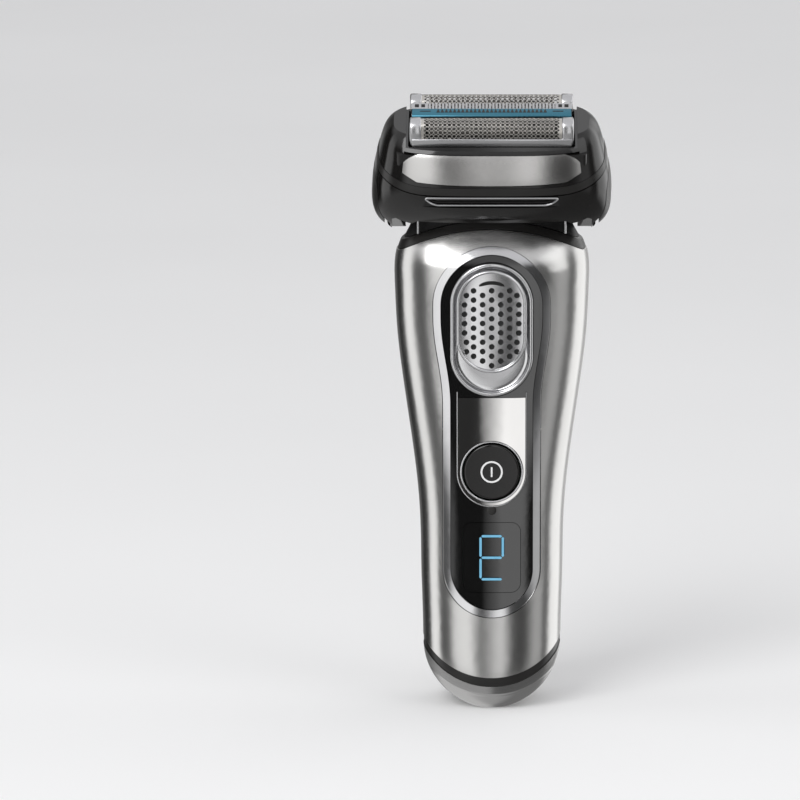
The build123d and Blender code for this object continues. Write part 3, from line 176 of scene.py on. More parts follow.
def flatter_normal(tree, shader):
    """A face so slightly crowned that it mirrors almost as a flat one."""
    geometry = tree.nodes.new("ShaderNodeNewGeometry")
    own_normal = retell_normal(tree, geometry.outputs["Normal"], "WORLD", "OBJECT")
    flatten = vector_math(tree, "MULTIPLY", own_normal, (CROWN_KEPT, 1, 1))
    flattened = retell_normal(tree, flatten.outputs[0], "OBJECT", "WORLD")
    for surface in ("Normal", "Coat Normal"):
        tree.links.new(flattened, shader.inputs[surface])


def flat_gloss(name, base, metallic, rough, coat):
    """Polished face of the inlay: fine wipe marks on an almost flat mirror."""
    mat, tree, shader = new_material(name)
    shader.inputs["Metallic"].default_value = metallic
    shader.inputs["Coat Weight"].default_value = coat
    shader.inputs["Coat Roughness"].default_value = 0.02
    marks = object_noise(tree, 120, 4, (1, 1, 0.2))
    tint(tree, shader, marks.outputs[0], tuple(0.9 * c for c in base), base)
    tree.links.new(spread(tree, marks.outputs[0], rough, 1.6 * rough), shader.inputs["Roughness"])
    flatter_normal(tree, shader)
    return mat


FINISHES = {
    "satin_chrome": metal("satin_chrome", (0.60, 0.595, 0.585), (0.63, 0.625, 0.615), (0.22, 0.24), wear=60,
                          depth=0.000002),
    "rim_satin": metal("rim_satin", (0.62, 0.62, 0.63), (0.70, 0.70, 0.71), (0.15, 0.18), wear=90,
                       depth=0.000003),
    "head_silver": metal("head_silver", (0.56, 0.555, 0.545), (0.585, 0.575, 0.565), (0.2, 0.22), wear=60,
                         depth=0.000003),
    "plain_steel": metal("plain_steel", (0.55, 0.55, 0.56), (0.64, 0.64, 0.65), (0.16, 0.26)),
    "foil_steel": metal("foil_steel", (0.56, 0.54, 0.51), (0.68, 0.66, 0.62), (0.18, 0.28)),
    "magnet_steel": metal("magnet_steel", (0.40, 0.40, 0.42), (0.50, 0.50, 0.52), (0.25, 0.35)),
    "contact_gold": metal("contact_gold", (0.72, 0.56, 0.28), (0.82, 0.68, 0.38), (0.15, 0.25)),
    "copper_coil": metal("copper_coil", (0.60, 0.28, 0.14), (0.74, 0.40, 0.22), (0.25, 0.4),
                         stretch=(1, 1, 14)),
    "guard_teal": metal("guard_teal", (0.06, 0.21, 0.29), (0.09, 0.26, 0.35), (0.24, 0.32)),
    "black_gloss": plastic("black_gloss", (0.0045, 0.004, 0.0038), (0.007, 0.0065, 0.006), (0.07, 0.10),
                           depth=0.000002, coat=0.15, strength=0.05),
    "dark_satin": plastic("dark_satin", (0.010, 0.0095, 0.009), (0.016, 0.015, 0.014), (0.26, 0.34)),
    "black_matte": plastic("black_matte", (0.010, 0.010, 0.010), (0.018, 0.018, 0.018), (0.45, 0.6)),
    "soft_grip": plastic("soft_grip", (0.012, 0.012, 0.013), (0.020, 0.020, 0.021), (0.6, 0.75),
                         grain=2600, depth=0.00006),
    "symbol_white": plastic("symbol_white", (0.80, 0.80, 0.80), (0.9, 0.9, 0.9), (0.25, 0.35)),
    "board_green": plastic("board_green", (0.01, 0.07, 0.03), (0.015, 0.11, 0.05), (0.3, 0.4)),
    "chip_black": plastic("chip_black", (0.02, 0.02, 0.02), (0.03, 0.03, 0.03), (0.45, 0.55)),
    "cell_wrap": plastic("cell_wrap", (0.02, 0.10, 0.24), (0.03, 0.14, 0.30), (0.2, 0.3)),
    "display_blue": glow("display_blue", (0.12, 0.33, 0.48), 0.6),
}


FOOT_EDGE_Z = 0.00665        # lowest point of the foot's curved upper edge
FOOT_EDGE_RADIUS = 0.02276
FOOT_SPAN = 0.008            # how far down the facets reach from that edge
FOOT_RELIEF = 0.0022
FOOT_FACETS = [(0.0, 0.9), (0.28, 0.3), (0.34, 0.36), (0.38, 0.36), (1.0, 0.95)]


def foot_finish():
    """Satin chrome of the foot, with two facets that follow its curved upper edge."""
    mat, tree, shader = new_material("foot_chrome")
    shader.inputs["Metallic"].default_value = 1.0
    marks = object_noise(tree, 60, 5)
    tint(tree, shader, marks.outputs[0], (0.66, 0.655, 0.65), (0.70, 0.695, 0.69))
    tree.links.new(spread(tree, marks.outputs[0], 0.19, 0.22), shader.inputs["Roughness"])
    place = tree.nodes.new("ShaderNodeTexCoord")
    edge_centre = (0, 0, FOOT_EDGE_Z + FOOT_EDGE_RADIUS)
    offset = vector_math(tree, "SUBTRACT", place.outputs["Object"], edge_centre)
    seen_flat = vector_math(tree, "MULTIPLY", offset.outputs[0], (1, 0, 1))
    length = vector_math(tree, "LENGTH", seen_flat.outputs[0])
    foot_depth = map_range(tree, length.outputs["Value"], FOOT_EDGE_RADIUS, FOOT_EDGE_RADIUS + FOOT_SPAN)
    facets = tree.nodes.new("ShaderNodeFloatCurve")
    curve = facets.mapping.curves[0]
    for position, height in FOOT_FACETS:
        curve.points.new(position, height)
    for point in curve.points:
        point.handle_type = "VECTOR"
    facets.mapping.update()
    tree.links.new(foot_depth, facets.inputs["Value"])
    bump(tree, shader, facets.outputs[0], 1.0, FOOT_RELIEF)
    return mat


# Cutters and blades painted dark: painted shade under the foils, guard and comb, so the holes and slots
# above them look shaded.
CUTTER_SHADE_FINISH = metal("cutter_painted_shade", (0.10, 0.095, 0.09), (0.16, 0.15, 0.14), (0.3, 0.4))
OWN_FINISH = {
    "front_bezel": flat_gloss("inlay_gloss", (0.006, 0.006, 0.006), 0.0, 0.03, 1.0),
    "display_window": flat_gloss("window_gloss", (0.006, 0.006, 0.006), 0.0, 0.03, 1.0),
    "centre_panel": flat_gloss("panel_mirror", (0.76, 0.75, 0.74), 1.0, 0.04, 0.0),
    "bottom_cap": foot_finish(),
    "front_cutter_block": CUTTER_SHADE_FINISH,
    "rear_cutter_block": CUTTER_SHADE_FINISH,
    "comb_blade": CUTTER_SHADE_FINISH,
    "guard_blade": CUTTER_SHADE_FINISH,
}
NODE_SLOT = {part["node"]: part["material_slot"] for part in frame["record"]["subparts"]}


def finish_node(name):
    """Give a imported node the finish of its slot."""
    data = NODES[name].data
    data.materials.clear()
    data.materials.append(OWN_FINISH.get(name) or FINISHES[NODE_SLOT[name]])


for node_name in NODES:
    finish_node(node_name)


# ------------------------------------------------------------------ workshop
MM = 0.001
PIVOT_HEIGHT = 0.135
HEAD_LEAN = radians(18)
UPRIGHT = Matrix.Diagonal((MM, MM, MM, 1))
HEAD = Matrix.Translation((0, 0, PIVOT_HEIGHT)) @ Matrix.Rotation(HEAD_LEAN, 4, "X") @ UPRIGHT


def edit_mode():
    """Open the active piece for work on its mesh."""
    bpy.ops.object.mode_set(mode="EDIT")


def object_mode():
    """Close the mesh of the active piece."""
    bpy.ops.object.mode_set(mode="OBJECT")


def bake_transform():
    """Move the piece's place, turn and scale into its mesh."""
    bpy.ops.object.transform_apply(location=True, rotation=True, scale=True)


def pick(kind, test):
    """In edit mode, select the vertices or faces whose centre (and normal) pass the test."""
    mesh = bpy.context.object.data
    bpy.ops.mesh.select_mode(type="VERT" if kind == "VERT" else "FACE")
    bpy.ops.mesh.select_all(action="DESELECT")
    work = bmesh.from_edit_mesh(mesh)
    if kind == "VERT":
        for vert in work.verts:
            vert.select = bool(test(vert.co))
    else:
        for face in work.faces:
            face.select = bool(test(face.calc_center_median(), face.normal, face))
    work.select_flush_mode()
    bmesh.update_edit_mesh(mesh)


CAST_FROM = -0.05            # in front of everything


def lay_on(piece, nodes):
    """Carry a piece drawn flat, forwards negative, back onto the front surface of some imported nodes."""
    for vert in piece.data.vertices:
        start = Vector((vert.co.x * MM, CAST_FROM, vert.co.z * MM))
        hits = [NODES[node].ray_cast(start, Vector((0, 1, 0))) for node in nodes]
        depths = [hit[1].y / MM for hit in hits if hit[0]]
        if depths:
            vert.co.y += min(depths)


def settle(name, body, slot, space=UPRIGHT, smooth=35):
    """Leave edit mode, bring the piece from millimetres into its place, shade it and let it ride."""
    if bpy.context.object.mode == "EDIT":
        object_mode()
    piece = bpy.context.object
    piece.name = name
    piece.data.name = name
    piece.matrix_world = space
    bake_transform()
    if smooth:
        bpy.ops.object.shade_smooth_by_angle(angle=radians(smooth))
    piece.data.materials.clear()
    piece.data.materials.append(FINISHES[slot])
    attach(piece, body)
    return piece


def join_all(pieces):
    """Join several blanks into one mesh, the first of them active."""
    bpy.ops.object.select_all(action="DESELECT")
    for piece in pieces:
        piece.select_set(True)
    bpy.context.view_layer.objects.active = pieces[0]
    if len(pieces) > 1:
        bpy.ops.object.join()
    return bpy.context.object


LEAST_INSET = 0.004          # an inset of nothing would leave doubled corners


def step_faces(steps):
    """Push the selected faces through steps, each one inwards and forwards."""
    for inwards, forwards in steps:
        bpy.ops.mesh.inset(thickness=max(inwards, LEAST_INSET), depth=forwards)


def block(low, high, bevel=0.0, segments=2):
    """A block between two corners, its edges eased."""
    bpy.ops.object.select_all(action="DESELECT")
    middle = [(a + b) / 2 for a, b in zip(low, high)]
    bpy.ops.mesh.primitive_cube_add(size=1, location=middle)
    bpy.context.object.scale = [b - a for a, b in zip(low, high)]
    bake_transform()
    if bevel:
        edit_mode()
        bpy.ops.mesh.select_all(action="SELECT")
        bpy.ops.mesh.bevel(offset=bevel, segments=segments, affect="EDGES")
        object_mode()
    return bpy.context.object


def oval_turning(half, length, middle_z, start_y, steps, corners=72, closed=False):
    """A round-ended upright form facing forwards: each step goes inwards and forwards."""
    bpy.ops.object.select_all(action="DESELECT")
    bpy.ops.mesh.primitive_circle_add(vertices=corners, radius=half, fill_type="NGON",
                                      rotation=(pi / 2, pi / corners, 0))
    bake_transform()
    edit_mode()
    stretch = length / 2 - half
    for side in (-1, 1):
        pick("VERT", lambda co: co.z * side > 0)
        bpy.ops.transform.translate(value=(0, 0, side * stretch))
    bpy.ops.mesh.select_all(action="SELECT")
    bpy.ops.transform.translate(value=(0, start_y, middle_z))
    if closed:
        bpy.ops.mesh.duplicate()
        bpy.ops.mesh.flip_normals()
        bpy.ops.mesh.select_all(action="INVERT")
    step_faces(steps)
    return bpy.context.object


def round_turning(radius, corners, place, steps):
    """A round form facing forwards, made as the oval one is."""
    bpy.ops.object.select_all(action="DESELECT")
    bpy.ops.mesh.primitive_circle_add(vertices=corners, radius=radius, fill_type="NGON",
                                      rotation=(pi / 2, 0, 0), location=place)
    bake_transform()
    edit_mode()
    bpy.ops.mesh.select_all(action="SELECT")
    step_faces(steps)
    return bpy.context.object


def profile_bar(half, profile):
    """A bar along X whose section is drawn on the fore-and-aft plane, as (u, w) points."""
    bpy.ops.object.select_all(action="DESELECT")
    bpy.ops.mesh.primitive_circle_add(vertices=len(profile), radius=1, fill_type="NGON")
    ring = bpy.context.object
    for vert, (u, w) in zip(ring.data.vertices, profile):
        vert.co = (-half, u, w)
    edit_mode()
    bpy.ops.mesh.select_all(action="SELECT")
    bpy.ops.mesh.duplicate()
    bpy.ops.mesh.select_all(action="INVERT")
    bpy.ops.mesh.extrude_region_move(TRANSFORM_OT_translate={"value": (2 * half, 0, 0)})
    bpy.ops.mesh.select_all(action="SELECT")
    bpy.ops.mesh.remove_doubles(threshold=0.001)
    bpy.ops.mesh.normals_make_consistent(inside=False)
    object_mode()
    return ring


# ------------------------------------------------------------------ foils
FOIL_HALF_LENGTH = 18.6
FOIL_RADIUS = 3.0
FOIL_TOP = 28.1
FOIL_OFFSET = 7.1            # each foil stands this far in front of or behind the middle
FOIL_FOOT = 19.9
FOIL_THICKNESS = 0.09
HOLE_PITCH_X = 1.16
HOLE_PITCH_ARC = 1.02
HOLE_CORNER = 0.33           # cut off the corners of the squares between the openings
WEB = 0.13                   # width of metal left round each hole
LOOSE = 0.2                  # how far the holes of the lower rows wander
LOOSE_ARC = 1.35 * FOIL_RADIUS
LOOSE_HALF = 2.3             # half the width of the loose rows
SOLID_HEM = 2.5              # solid metal along the two long edges
PLAIN_HEM = 0.4              # of which this much has no openings at all
SMALL_SHARE = 0.2            # openings smaller than this share of a square are cut at its corners


def foil_point(arc, centre_u):
    """Point of the arched section, arc measured from the crest, backwards positive."""
    quarter = pi * FOIL_RADIUS / 2
    middle = FOIL_TOP - FOIL_RADIUS
    if abs(arc) <= quarter:
        turn = arc / FOIL_RADIUS
        return centre_u + FOIL_RADIUS * sin(turn), middle + FOIL_RADIUS * cos(turn)
    side = 1 if arc > 0 else -1
    return centre_u + side * FOIL_RADIUS, middle - (abs(arc) - quarter)


def perforated_foil(node, centre_u, body):
    """Thin sheet, etched through with small openings, arched over its cutter."""
    reach_down = FOIL_TOP - FOIL_RADIUS - FOIL_FOOT
    half_arc = pi * FOIL_RADIUS / 2 + reach_down
    columns = round(2 * FOIL_HALF_LENGTH / HOLE_PITCH_X)
    rows = round(2 * half_arc / HOLE_PITCH_ARC)
    bpy.ops.object.select_all(action="DESELECT")
    bpy.ops.mesh.primitive_grid_add(x_subdivisions=columns, y_subdivisions=rows, size=1)
    bpy.context.object.scale = (2 * FOIL_HALF_LENGTH, 2 * half_arc, 1)
    bake_transform()
    edit_mode()
    margin = FOIL_HALF_LENGTH - 0.6 * HOLE_PITCH_X
    pick("VERT", lambda co: abs(co.x) < margin and abs(co.y + LOOSE_ARC) < LOOSE_HALF)
    bpy.ops.transform.vertex_random(offset=LOOSE, uniform=0.0, normal=0.0, seed=3)
    bpy.ops.mesh.select_all(action="SELECT")
    bpy.ops.transform.resize(value=(1, 1, 0))
    pick("VERT", lambda co: abs(co.x) < margin and abs(co.y) < half_arc - PLAIN_HEM)
    bpy.ops.mesh.bevel(offset=HOLE_CORNER, segments=1, affect="VERTICES")
    small = SMALL_SHARE * HOLE_PITCH_X * HOLE_PITCH_ARC
    pick("FACE", lambda co, normal, face: len(face.verts) == 4 and face.calc_area() < small)
    bpy.ops.mesh.delete(type="FACE")
    solid_end = FOIL_HALF_LENGTH - HOLE_PITCH_X
    pick("FACE", lambda co, normal, face: abs(co.x) < solid_end and abs(co.y) < half_arc - SOLID_HEM)
    bpy.ops.mesh.inset(thickness=WEB, use_individual=True)
    bpy.ops.mesh.delete(type="FACE")
    object_mode()
    sheet = bpy.context.object
    for vert in sheet.data.vertices:
        u, w = foil_point(vert.co.y, centre_u)
        vert.co = (vert.co.x, u, w)
    thick = sheet.modifiers.new("sheet", "SOLIDIFY")
    thick.thickness = FOIL_THICKNESS
    thick.offset = -1
    bpy.ops.object.modifier_apply(modifier=thick.name)
    foil = settle(node + "_sheet", body, "foil_steel", HEAD, smooth=50)
    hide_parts(node)


def foil_arch(radius, drop, centre_u, count=14):
    """Section of an end cap: round over the top, straight down to drop."""
    middle = FOIL_TOP - FOIL_RADIUS
    points = [(centre_u - radius, drop)]
    for step in range(count + 1):
        turn = pi - pi * step / count
        points.append((centre_u + radius * cos(turn), middle + radius * sin(turn)))
    points.append((centre_u + radius, drop))
    return points


FRAME_HALF_LENGTH = 21.5
FRAME_FOOT = 18.6
FRAME_SILL = 24.0
FRAME_LAP = 0.3              # the end caps cover this much of the sheet
FRAME_PROUD = 0.25           # and stand this far above it
SILL_INNER = FOIL_RADIUS + 0.05
SILL_OUTER = 3.75
SILL_HALF_LENGTH = FRAME_HALF_LENGTH - 0.5
SILL_EASE = 0.3
CAP_EASE = 0.55


def ease_edges(piece, width, segments, sharper_than):
    """Round over the edges that turn by more than so many degrees."""
    ease = piece.modifiers.new("ease", "BEVEL")
    ease.width = width
    ease.segments = segments
    ease.limit_method = "ANGLE"
    ease.angle_limit = radians(sharper_than)
    bpy.ops.object.modifier_apply(modifier=ease.name)


def foil_carrier(node, centre_u, body):
    """Bright frame of a foil: round-topped ends joined by a sill in front and behind."""
    parts = []
    cap_half = (FRAME_HALF_LENGTH - FOIL_HALF_LENGTH + FRAME_LAP) / 2
    for side in (-1, 1):
        cap = profile_bar(cap_half, foil_arch(FOIL_RADIUS + FRAME_PROUD, FRAME_FOOT, centre_u))
        cap.location.x = side * (FRAME_HALF_LENGTH - cap_half)
        bake_transform()
        ease_edges(cap, CAP_EASE, 4, 60)
        parts.append(cap)
    for side in (-1, 1):
        near, far = sorted((centre_u + side * SILL_INNER, centre_u + side * SILL_OUTER))
        parts.append(block((-SILL_HALF_LENGTH, near, FRAME_FOOT), (SILL_HALF_LENGTH, far, FRAME_SILL),
                           SILL_EASE, 4))
    join_all(parts)
    frame_piece = settle(node + "_bright", body, "plain_steel", HEAD, smooth=45)
    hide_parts(node)


for foil_node, offset in (("front_foil", -FOIL_OFFSET), ("rear_foil", FOIL_OFFSET)):
    float_body = foil_node.split("_")[0] + "_float"
    perforated_foil(foil_node, offset, float_body)
    foil_carrier(foil_node + "_frame", offset, float_body)

# ------------------------------------------------------------------ middle trimmers
GUARD_CAP = [(-3.05, 26.6), (-3.0, 27.0), (-2.7, 27.2), (0.7, 27.4), (0.85, 27.25), (0.85, 26.6)]
GUARD_HALF = 20.9
CARRIER_HALF = 20.6          # the dark block that holds the guard
CARRIER_FRONT = -2.6
CARRIER_BACK = 0.7
CARRIER_TOP = 26.7
GUARD_SLOPE = ((-2.7, 27.2), (0.7, 27.4))
TEETH_PLACE = (-0.75, 27.31)
ZIGZAG_TEETH = 27
ZIGZAG_PITCH = 1.08
ZIGZAG_SIZE = (0.56, 1.3, 1)
INLAID = 0.1                 # thickness of what is let into a slope
END_MARK_X = 17.4            # middle of the dark bar at each end of the teeth
END_MARK_HALF = 1.4


def slope_matrix(low, high, place):
    """Lay a flat drawing on a slope that runs backwards from low to high, at a (u, w) place."""
    along = (Vector(high) - Vector(low)).normalized()
    return Matrix(((1, 0, 0, 0), (0, along.x, -along.y, place[0]), (0, along.y, along.x, place[1]),
                   (0, 0, 0, 1)))


def guard_tooth(x):
    """One pointed tooth, drawn flat."""
    bpy.ops.object.select_all(action="DESELECT")
    bpy.ops.mesh.primitive_cylinder_add(vertices=3, radius=1, depth=INLAID)
    tooth = bpy.context.object
    tooth.scale = ZIGZAG_SIZE
    tooth.location.x = x
    bake_transform()
    return tooth


def skin_guard():
    """Coloured guard with a sloping front, and the row of dark teeth let into its slope, painted shade
    standing in for the zigzag slots.
    """
    cap = profile_bar(GUARD_HALF, GUARD_CAP)
    ease_edges(cap, 0.12, 2, 40)
    guard = settle("skin_guard_cap", "guard_float", "guard_teal", HEAD, smooth=40)
    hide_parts("skin_guard")
    block((-CARRIER_HALF, CARRIER_FRONT, FRAME_FOOT), (CARRIER_HALF, CARRIER_BACK, CARRIER_TOP), 0.15)
    settle("skin_guard_carrier", "guard_float", "black_matte", HEAD, smooth=40)
    # Flat dark triangles inlaid on the slope: painted shade standing in for the zigzag slots.
    teeth = [guard_tooth((tooth - (ZIGZAG_TEETH - 1) / 2) * ZIGZAG_PITCH) for tooth in range(ZIGZAG_TEETH)]
    for middle in (-END_MARK_X, END_MARK_X):
        teeth.append(block((middle - END_MARK_HALF, -0.2, -INLAID / 2),
                           (middle + END_MARK_HALF, 0.25, INLAID / 2), 0.02))
    row = join_all(teeth)
    row.matrix_world = slope_matrix(*GUARD_SLOPE, TEETH_PLACE)
    bake_transform()
    settle("skin_guard_slot_shade", "guard_float", "black_matte", HEAD, smooth=0)


COMB_TOOTH = [(1.15, 25.6), (1.15, 27.1), (1.3, 27.25), (3.0, 27.85), (3.15, 27.75), (3.15, 25.6)]
COMB_HALF = 21.1
COMB_TEETH = 38
COMB_PITCH = 0.88
COMB_TOOTH_HALF = 0.27
COMB_RAILS = ((1.15, 1.6, 26.05), (2.7, 3.15, 26.4))     # front, back and top of the two rails
COMB_SLOPE = ((1.3, 27.25), (3.0, 27.85))
WINDOW_PLACE = (2.1, 27.5)
WINDOW_SPANS = ((17.5, 18.5), (19.1, 20.2))
WINDOW_HALF = 0.55


def trimmer_comb():
    """Steel comb: a row of thin teeth between two solid ends with dark windows."""
    parts = []
    row = profile_bar(COMB_TOOTH_HALF, COMB_TOOTH)
    row.location.x = -(COMB_TEETH - 1) / 2 * COMB_PITCH
    bake_transform()
    repeat = row.modifiers.new("row", "ARRAY")
    repeat.count = COMB_TEETH
    repeat.use_relative_offset = False
    repeat.use_constant_offset = True
    repeat.constant_offset_displace = (COMB_PITCH, 0, 0)
    bpy.ops.object.modifier_apply(modifier=repeat.name)
    parts.append(row)
    solid_half = (COMB_HALF - (COMB_TEETH / 2) * COMB_PITCH) / 2
    for side in (-1, 1):
        end = profile_bar(solid_half, COMB_TOOTH)
        end.location.x = side * (COMB_HALF - solid_half)
        bake_transform()
        parts.append(end)
    for front, back, top in COMB_RAILS:
        parts.append(block((-COMB_HALF, front, FRAME_FOOT), (COMB_HALF, back, top), 0.08))
    join_all(parts)
    comb = settle("trimmer_comb_teeth", "comb_float", "plain_steel", HEAD, smooth=30)
    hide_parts("trimmer_comb")
    windows = []
    for side in (-1, 1):
        for span in WINDOW_SPANS:
            low, high = sorted(side * edge for edge in span)
            windows.append(block((low, -WINDOW_HALF, -INLAID), (high, WINDOW_HALF, INLAID), 0.05))
    pair = join_all(windows)
    pair.matrix_world = slope_matrix(*COMB_SLOPE, WINDOW_PLACE)
    bake_transform()
    settle("trimmer_comb_windows", "comb_float", "black_matte", HEAD, smooth=0)


skin_guard()
trimmer_comb()

# ------------------------------------------------------------------ travel lock
KNOB_HALF = 9.3
KNOB_LENGTH = 27.6
KNOB_MIDDLE = 106.0
KNOB_BACK = -13.4
HOLE_RADIUS = 0.76
COLUMN_PITCH = 2.38
OUTER_COLUMN = 3             # the columns run from minus this to plus this
ROWS = 10
ROW_PITCH = 2.5
FIRST_HOLE = 8.2             # above the knob's middle
RIM_MARGIN = 1.3             # no hole's middle is nearer to the outline
OUTER_PULL = 0.93            # the last holes of the outer columns follow the round ends inwards
SLOT_HALF = 3.3
SLOT_ABOVE = 10.3            # the curved slot, above the knob's middle
SLOT_HALF_HEIGHT = 0.5
SLOT_BOW = 0.07
PUNCH_FRONT = -19            # the punch reaches from here back to here
PUNCH_BACK = -15
PAD_MARGIN = 1.2
PAD_BACK = -14.6
PAD_STEPS = [(0.0, 0.85), (0.05, 0.05)]
KNOB_RIM = [(0.0, 2.3), (0.0, 0.9), (0.08, 0.3), (0.14, 0.22), (0.2, 0.12), (0.2, 0.0), (0.16, -0.1),
            (0.12, -0.2), (0.08, -0.35), (0.5, -0.06), (1.0, -0.1), (1.4, -0.1), (1.6, -0.07),
            (1.8, -0.04)]


def hole_places():
    """Staggered columns of holes that fill the oval face."""
    straight = KNOB_LENGTH / 2 - KNOB_HALF
    places = []
    for column in range(-OUTER_COLUMN, OUTER_COLUMN + 1):
        for row in range(ROWS):
            x = column * COLUMN_PITCH
            z = FIRST_HOLE - ROW_PITCH * row - (ROW_PITCH / 2 if column % 2 else 0)
            beyond = max(0.0, abs(z) - straight)
            if (x * x + beyond * beyond) ** 0.5 > KNOB_HALF - RIM_MARGIN:
                continue
            if abs(column) == OUTER_COLUMN and beyond > 0:
                x *= OUTER_PULL
            places.append((x, z))
    return places


def punch_tool():
    """The pins and the curved blade that pierce the grip, as one mesh."""
    cutters = []
    for x, z in hole_places():
        bpy.ops.object.select_all(action="DESELECT")
        bpy.ops.mesh.primitive_cylinder_add(vertices=18, radius=HOLE_RADIUS, depth=PUNCH_BACK - PUNCH_FRONT,
                                            location=(x, (PUNCH_FRONT + PUNCH_BACK) / 2, KNOB_MIDDLE + z),
                                            rotation=(pi / 2, 0, 0))
        bake_transform()
        cutters.append(bpy.context.object)
    blade = block((-SLOT_HALF, PUNCH_FRONT, -SLOT_HALF_HEIGHT), (SLOT_HALF, PUNCH_BACK, SLOT_HALF_HEIGHT))
    edit_mode()
    bpy.ops.mesh.select_all(action="SELECT")
    bpy.ops.mesh.subdivide(number_cuts=9)
    object_mode()
    for vert in blade.data.vertices:
        taper = 1 - 0.5 * (abs(vert.co.x) / SLOT_HALF) ** 6
        vert.co.z = vert.co.z * taper + KNOB_MIDDLE + SLOT_ABOVE - SLOT_BOW * vert.co.x ** 2
    cutters.append(blade)
    return join_all(cutters)


def lock_knob():
    """Knob with a raised rim round a dished grip, pierced by rows of holes and a curved slot."""
    knob = oval_turning(KNOB_HALF, KNOB_LENGTH, KNOB_MIDDLE, KNOB_BACK, KNOB_RIM, closed=True)
    bpy.ops.mesh.select_all(action="SELECT")
    bpy.ops.mesh.remove_doubles(threshold=0.0005)
    bpy.ops.mesh.normals_make_consistent(inside=False)
    object_mode()
    punch = punch_tool()
    bpy.ops.object.select_all(action="DESELECT")
    bpy.context.view_layer.objects.active = knob
    knob.select_set(True)
    pierce = knob.modifiers.new("holes", "BOOLEAN")
    pierce.operation = "DIFFERENCE"
    pierce.solver = "EXACT"
    pierce.object = punch
    bpy.ops.object.modifier_apply(modifier=pierce.name)
    bpy.data.objects.remove(punch)
    piece = settle("lock_knob_grip", "lock", "rim_satin", smooth=30)
    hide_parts("lock_knob")
    # Black pad behind the pierced grip: painted shade that makes the holes look dark and deep.
    oval_turning(KNOB_HALF - PAD_MARGIN, KNOB_LENGTH - 2 * PAD_MARGIN, KNOB_MIDDLE, PAD_BACK, PAD_STEPS)
    settle("lock_knob_shade_pad", "lock", "black_matte", smooth=40)


RING_HALF = 10.95
RING_LENGTH = 35.7
RING_MIDDLE = 103.6
RING_BACK = -14.7
RING_STEPS = [(0.0, 0.9), (0.05, 0.25), (0.1, 0.2), (0.16, 0.14), (0.2, 0.06), (0.2, 0.0), (0.16, -0.06),
              (0.12, -0.14), (0.08, -0.2), (0.05, -0.25), (0.02, -1.3), (0.06, -0.25), (0.16, -0.16),
              (0.3, -0.1), (0.7, -0.04), (2.0, 0.0)]


def lock_surround():
    """Round-edged ring whose inner wall runs down into a silver trough that the knob slides in."""
    oval_turning(RING_HALF, RING_LENGTH, RING_MIDDLE, RING_BACK, RING_STEPS)
    piece = settle("lock_surround", "handle", "rim_satin", smooth=50)
    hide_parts("lock_ring", "lock_track")


lock_knob()
lock_surround()

# ------------------------------------------------------------------ small trim
LIP_TOP_HALF = 18.3
LIP_LOW_HALF = 15.4
LIP_LOW_W = 8.0
LIP_TOP_W = 10.5
LIP_U = -17.2
LIP_ROUND = 1.6
LIP_STEPS = [(0.0, 0.55), (0.08, 0.1), (0.26, 0.02), (0.1, -0.12), (0.1, -0.9)]


def grip_lip():
    """Bright lip round the shallow finger slot in the head's front, over a dark floor."""
    bpy.ops.object.select_all(action="DESELECT")
    bpy.ops.mesh.primitive_circle_add(vertices=4, radius=1, fill_type="NGON")
    lip = bpy.context.object
    corners = [(-LIP_TOP_HALF, LIP_TOP_W), (-LIP_LOW_HALF, LIP_LOW_W), (LIP_LOW_HALF, LIP_LOW_W),
               (LIP_TOP_HALF, LIP_TOP_W)]
    for vert, (x, w) in zip(lip.data.vertices, corners):
        vert.co = (x, LIP_U, w)
    edit_mode()
    bpy.ops.mesh.select_all(action="SELECT")
    bpy.ops.mesh.bevel(offset=LIP_ROUND, segments=6, affect="VERTICES")
    bpy.ops.mesh.select_all(action="SELECT")
    bpy.ops.mesh.normals_make_consistent(inside=False)
    work = bmesh.from_edit_mesh(lip.data)
    if max(work.faces, key=lambda face: face.calc_area()).normal.y > 0:
        bpy.ops.mesh.flip_normals()
    step_faces(LIP_STEPS)
    bpy.ops.mesh.delete(type="FACE")
    piece = settle("grip_lip", "head", "rim_satin", HEAD, smooth=40)
    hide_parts("base_trim")


POST_RADIUS = 0.3
POST_LENGTH = 6.4
POST_X = 19.4
POST_Y = -8.6
POST_MIDDLE = 131.4
POST_EASE = 0.08


def neck_posts():
    """Two slim bright posts between the collar and the head."""
    posts = []
    for x in (-POST_X, POST_X):
        bpy.ops.object.select_all(action="DESELECT")
        bpy.ops.mesh.primitive_cylinder_add(vertices=20, radius=POST_RADIUS, depth=POST_LENGTH,
                                            location=(x, POST_Y, POST_MIDDLE))
        bake_transform()
        edit_mode()
        pick("FACE", lambda co, normal, face: abs(normal.z) > 0.9)
        bpy.ops.mesh.inset(thickness=POST_EASE, depth=POST_EASE, use_individual=True)
        object_mode()
        posts.append(bpy.context.object)
    join_all(posts)
    settle("neck_posts", "handle", "plain_steel", smooth=40)


PANEL_HALF = 8.9
PANEL_FOOT = 56.2
PANEL_EDGE_GAP = 0.42        # the edge runs this far outside the panel
PANEL_EDGE_LENGTH = 40.0
PANEL_EDGE_TOP = 84.6
PANEL_EDGE_STEPS = [(0.0, 0.45), (0.06, 0.12), (0.1, 0.05), (0.1, 0.0), (0.1, -0.05), (0.06, -0.12),
                    (0.0, -0.45)]


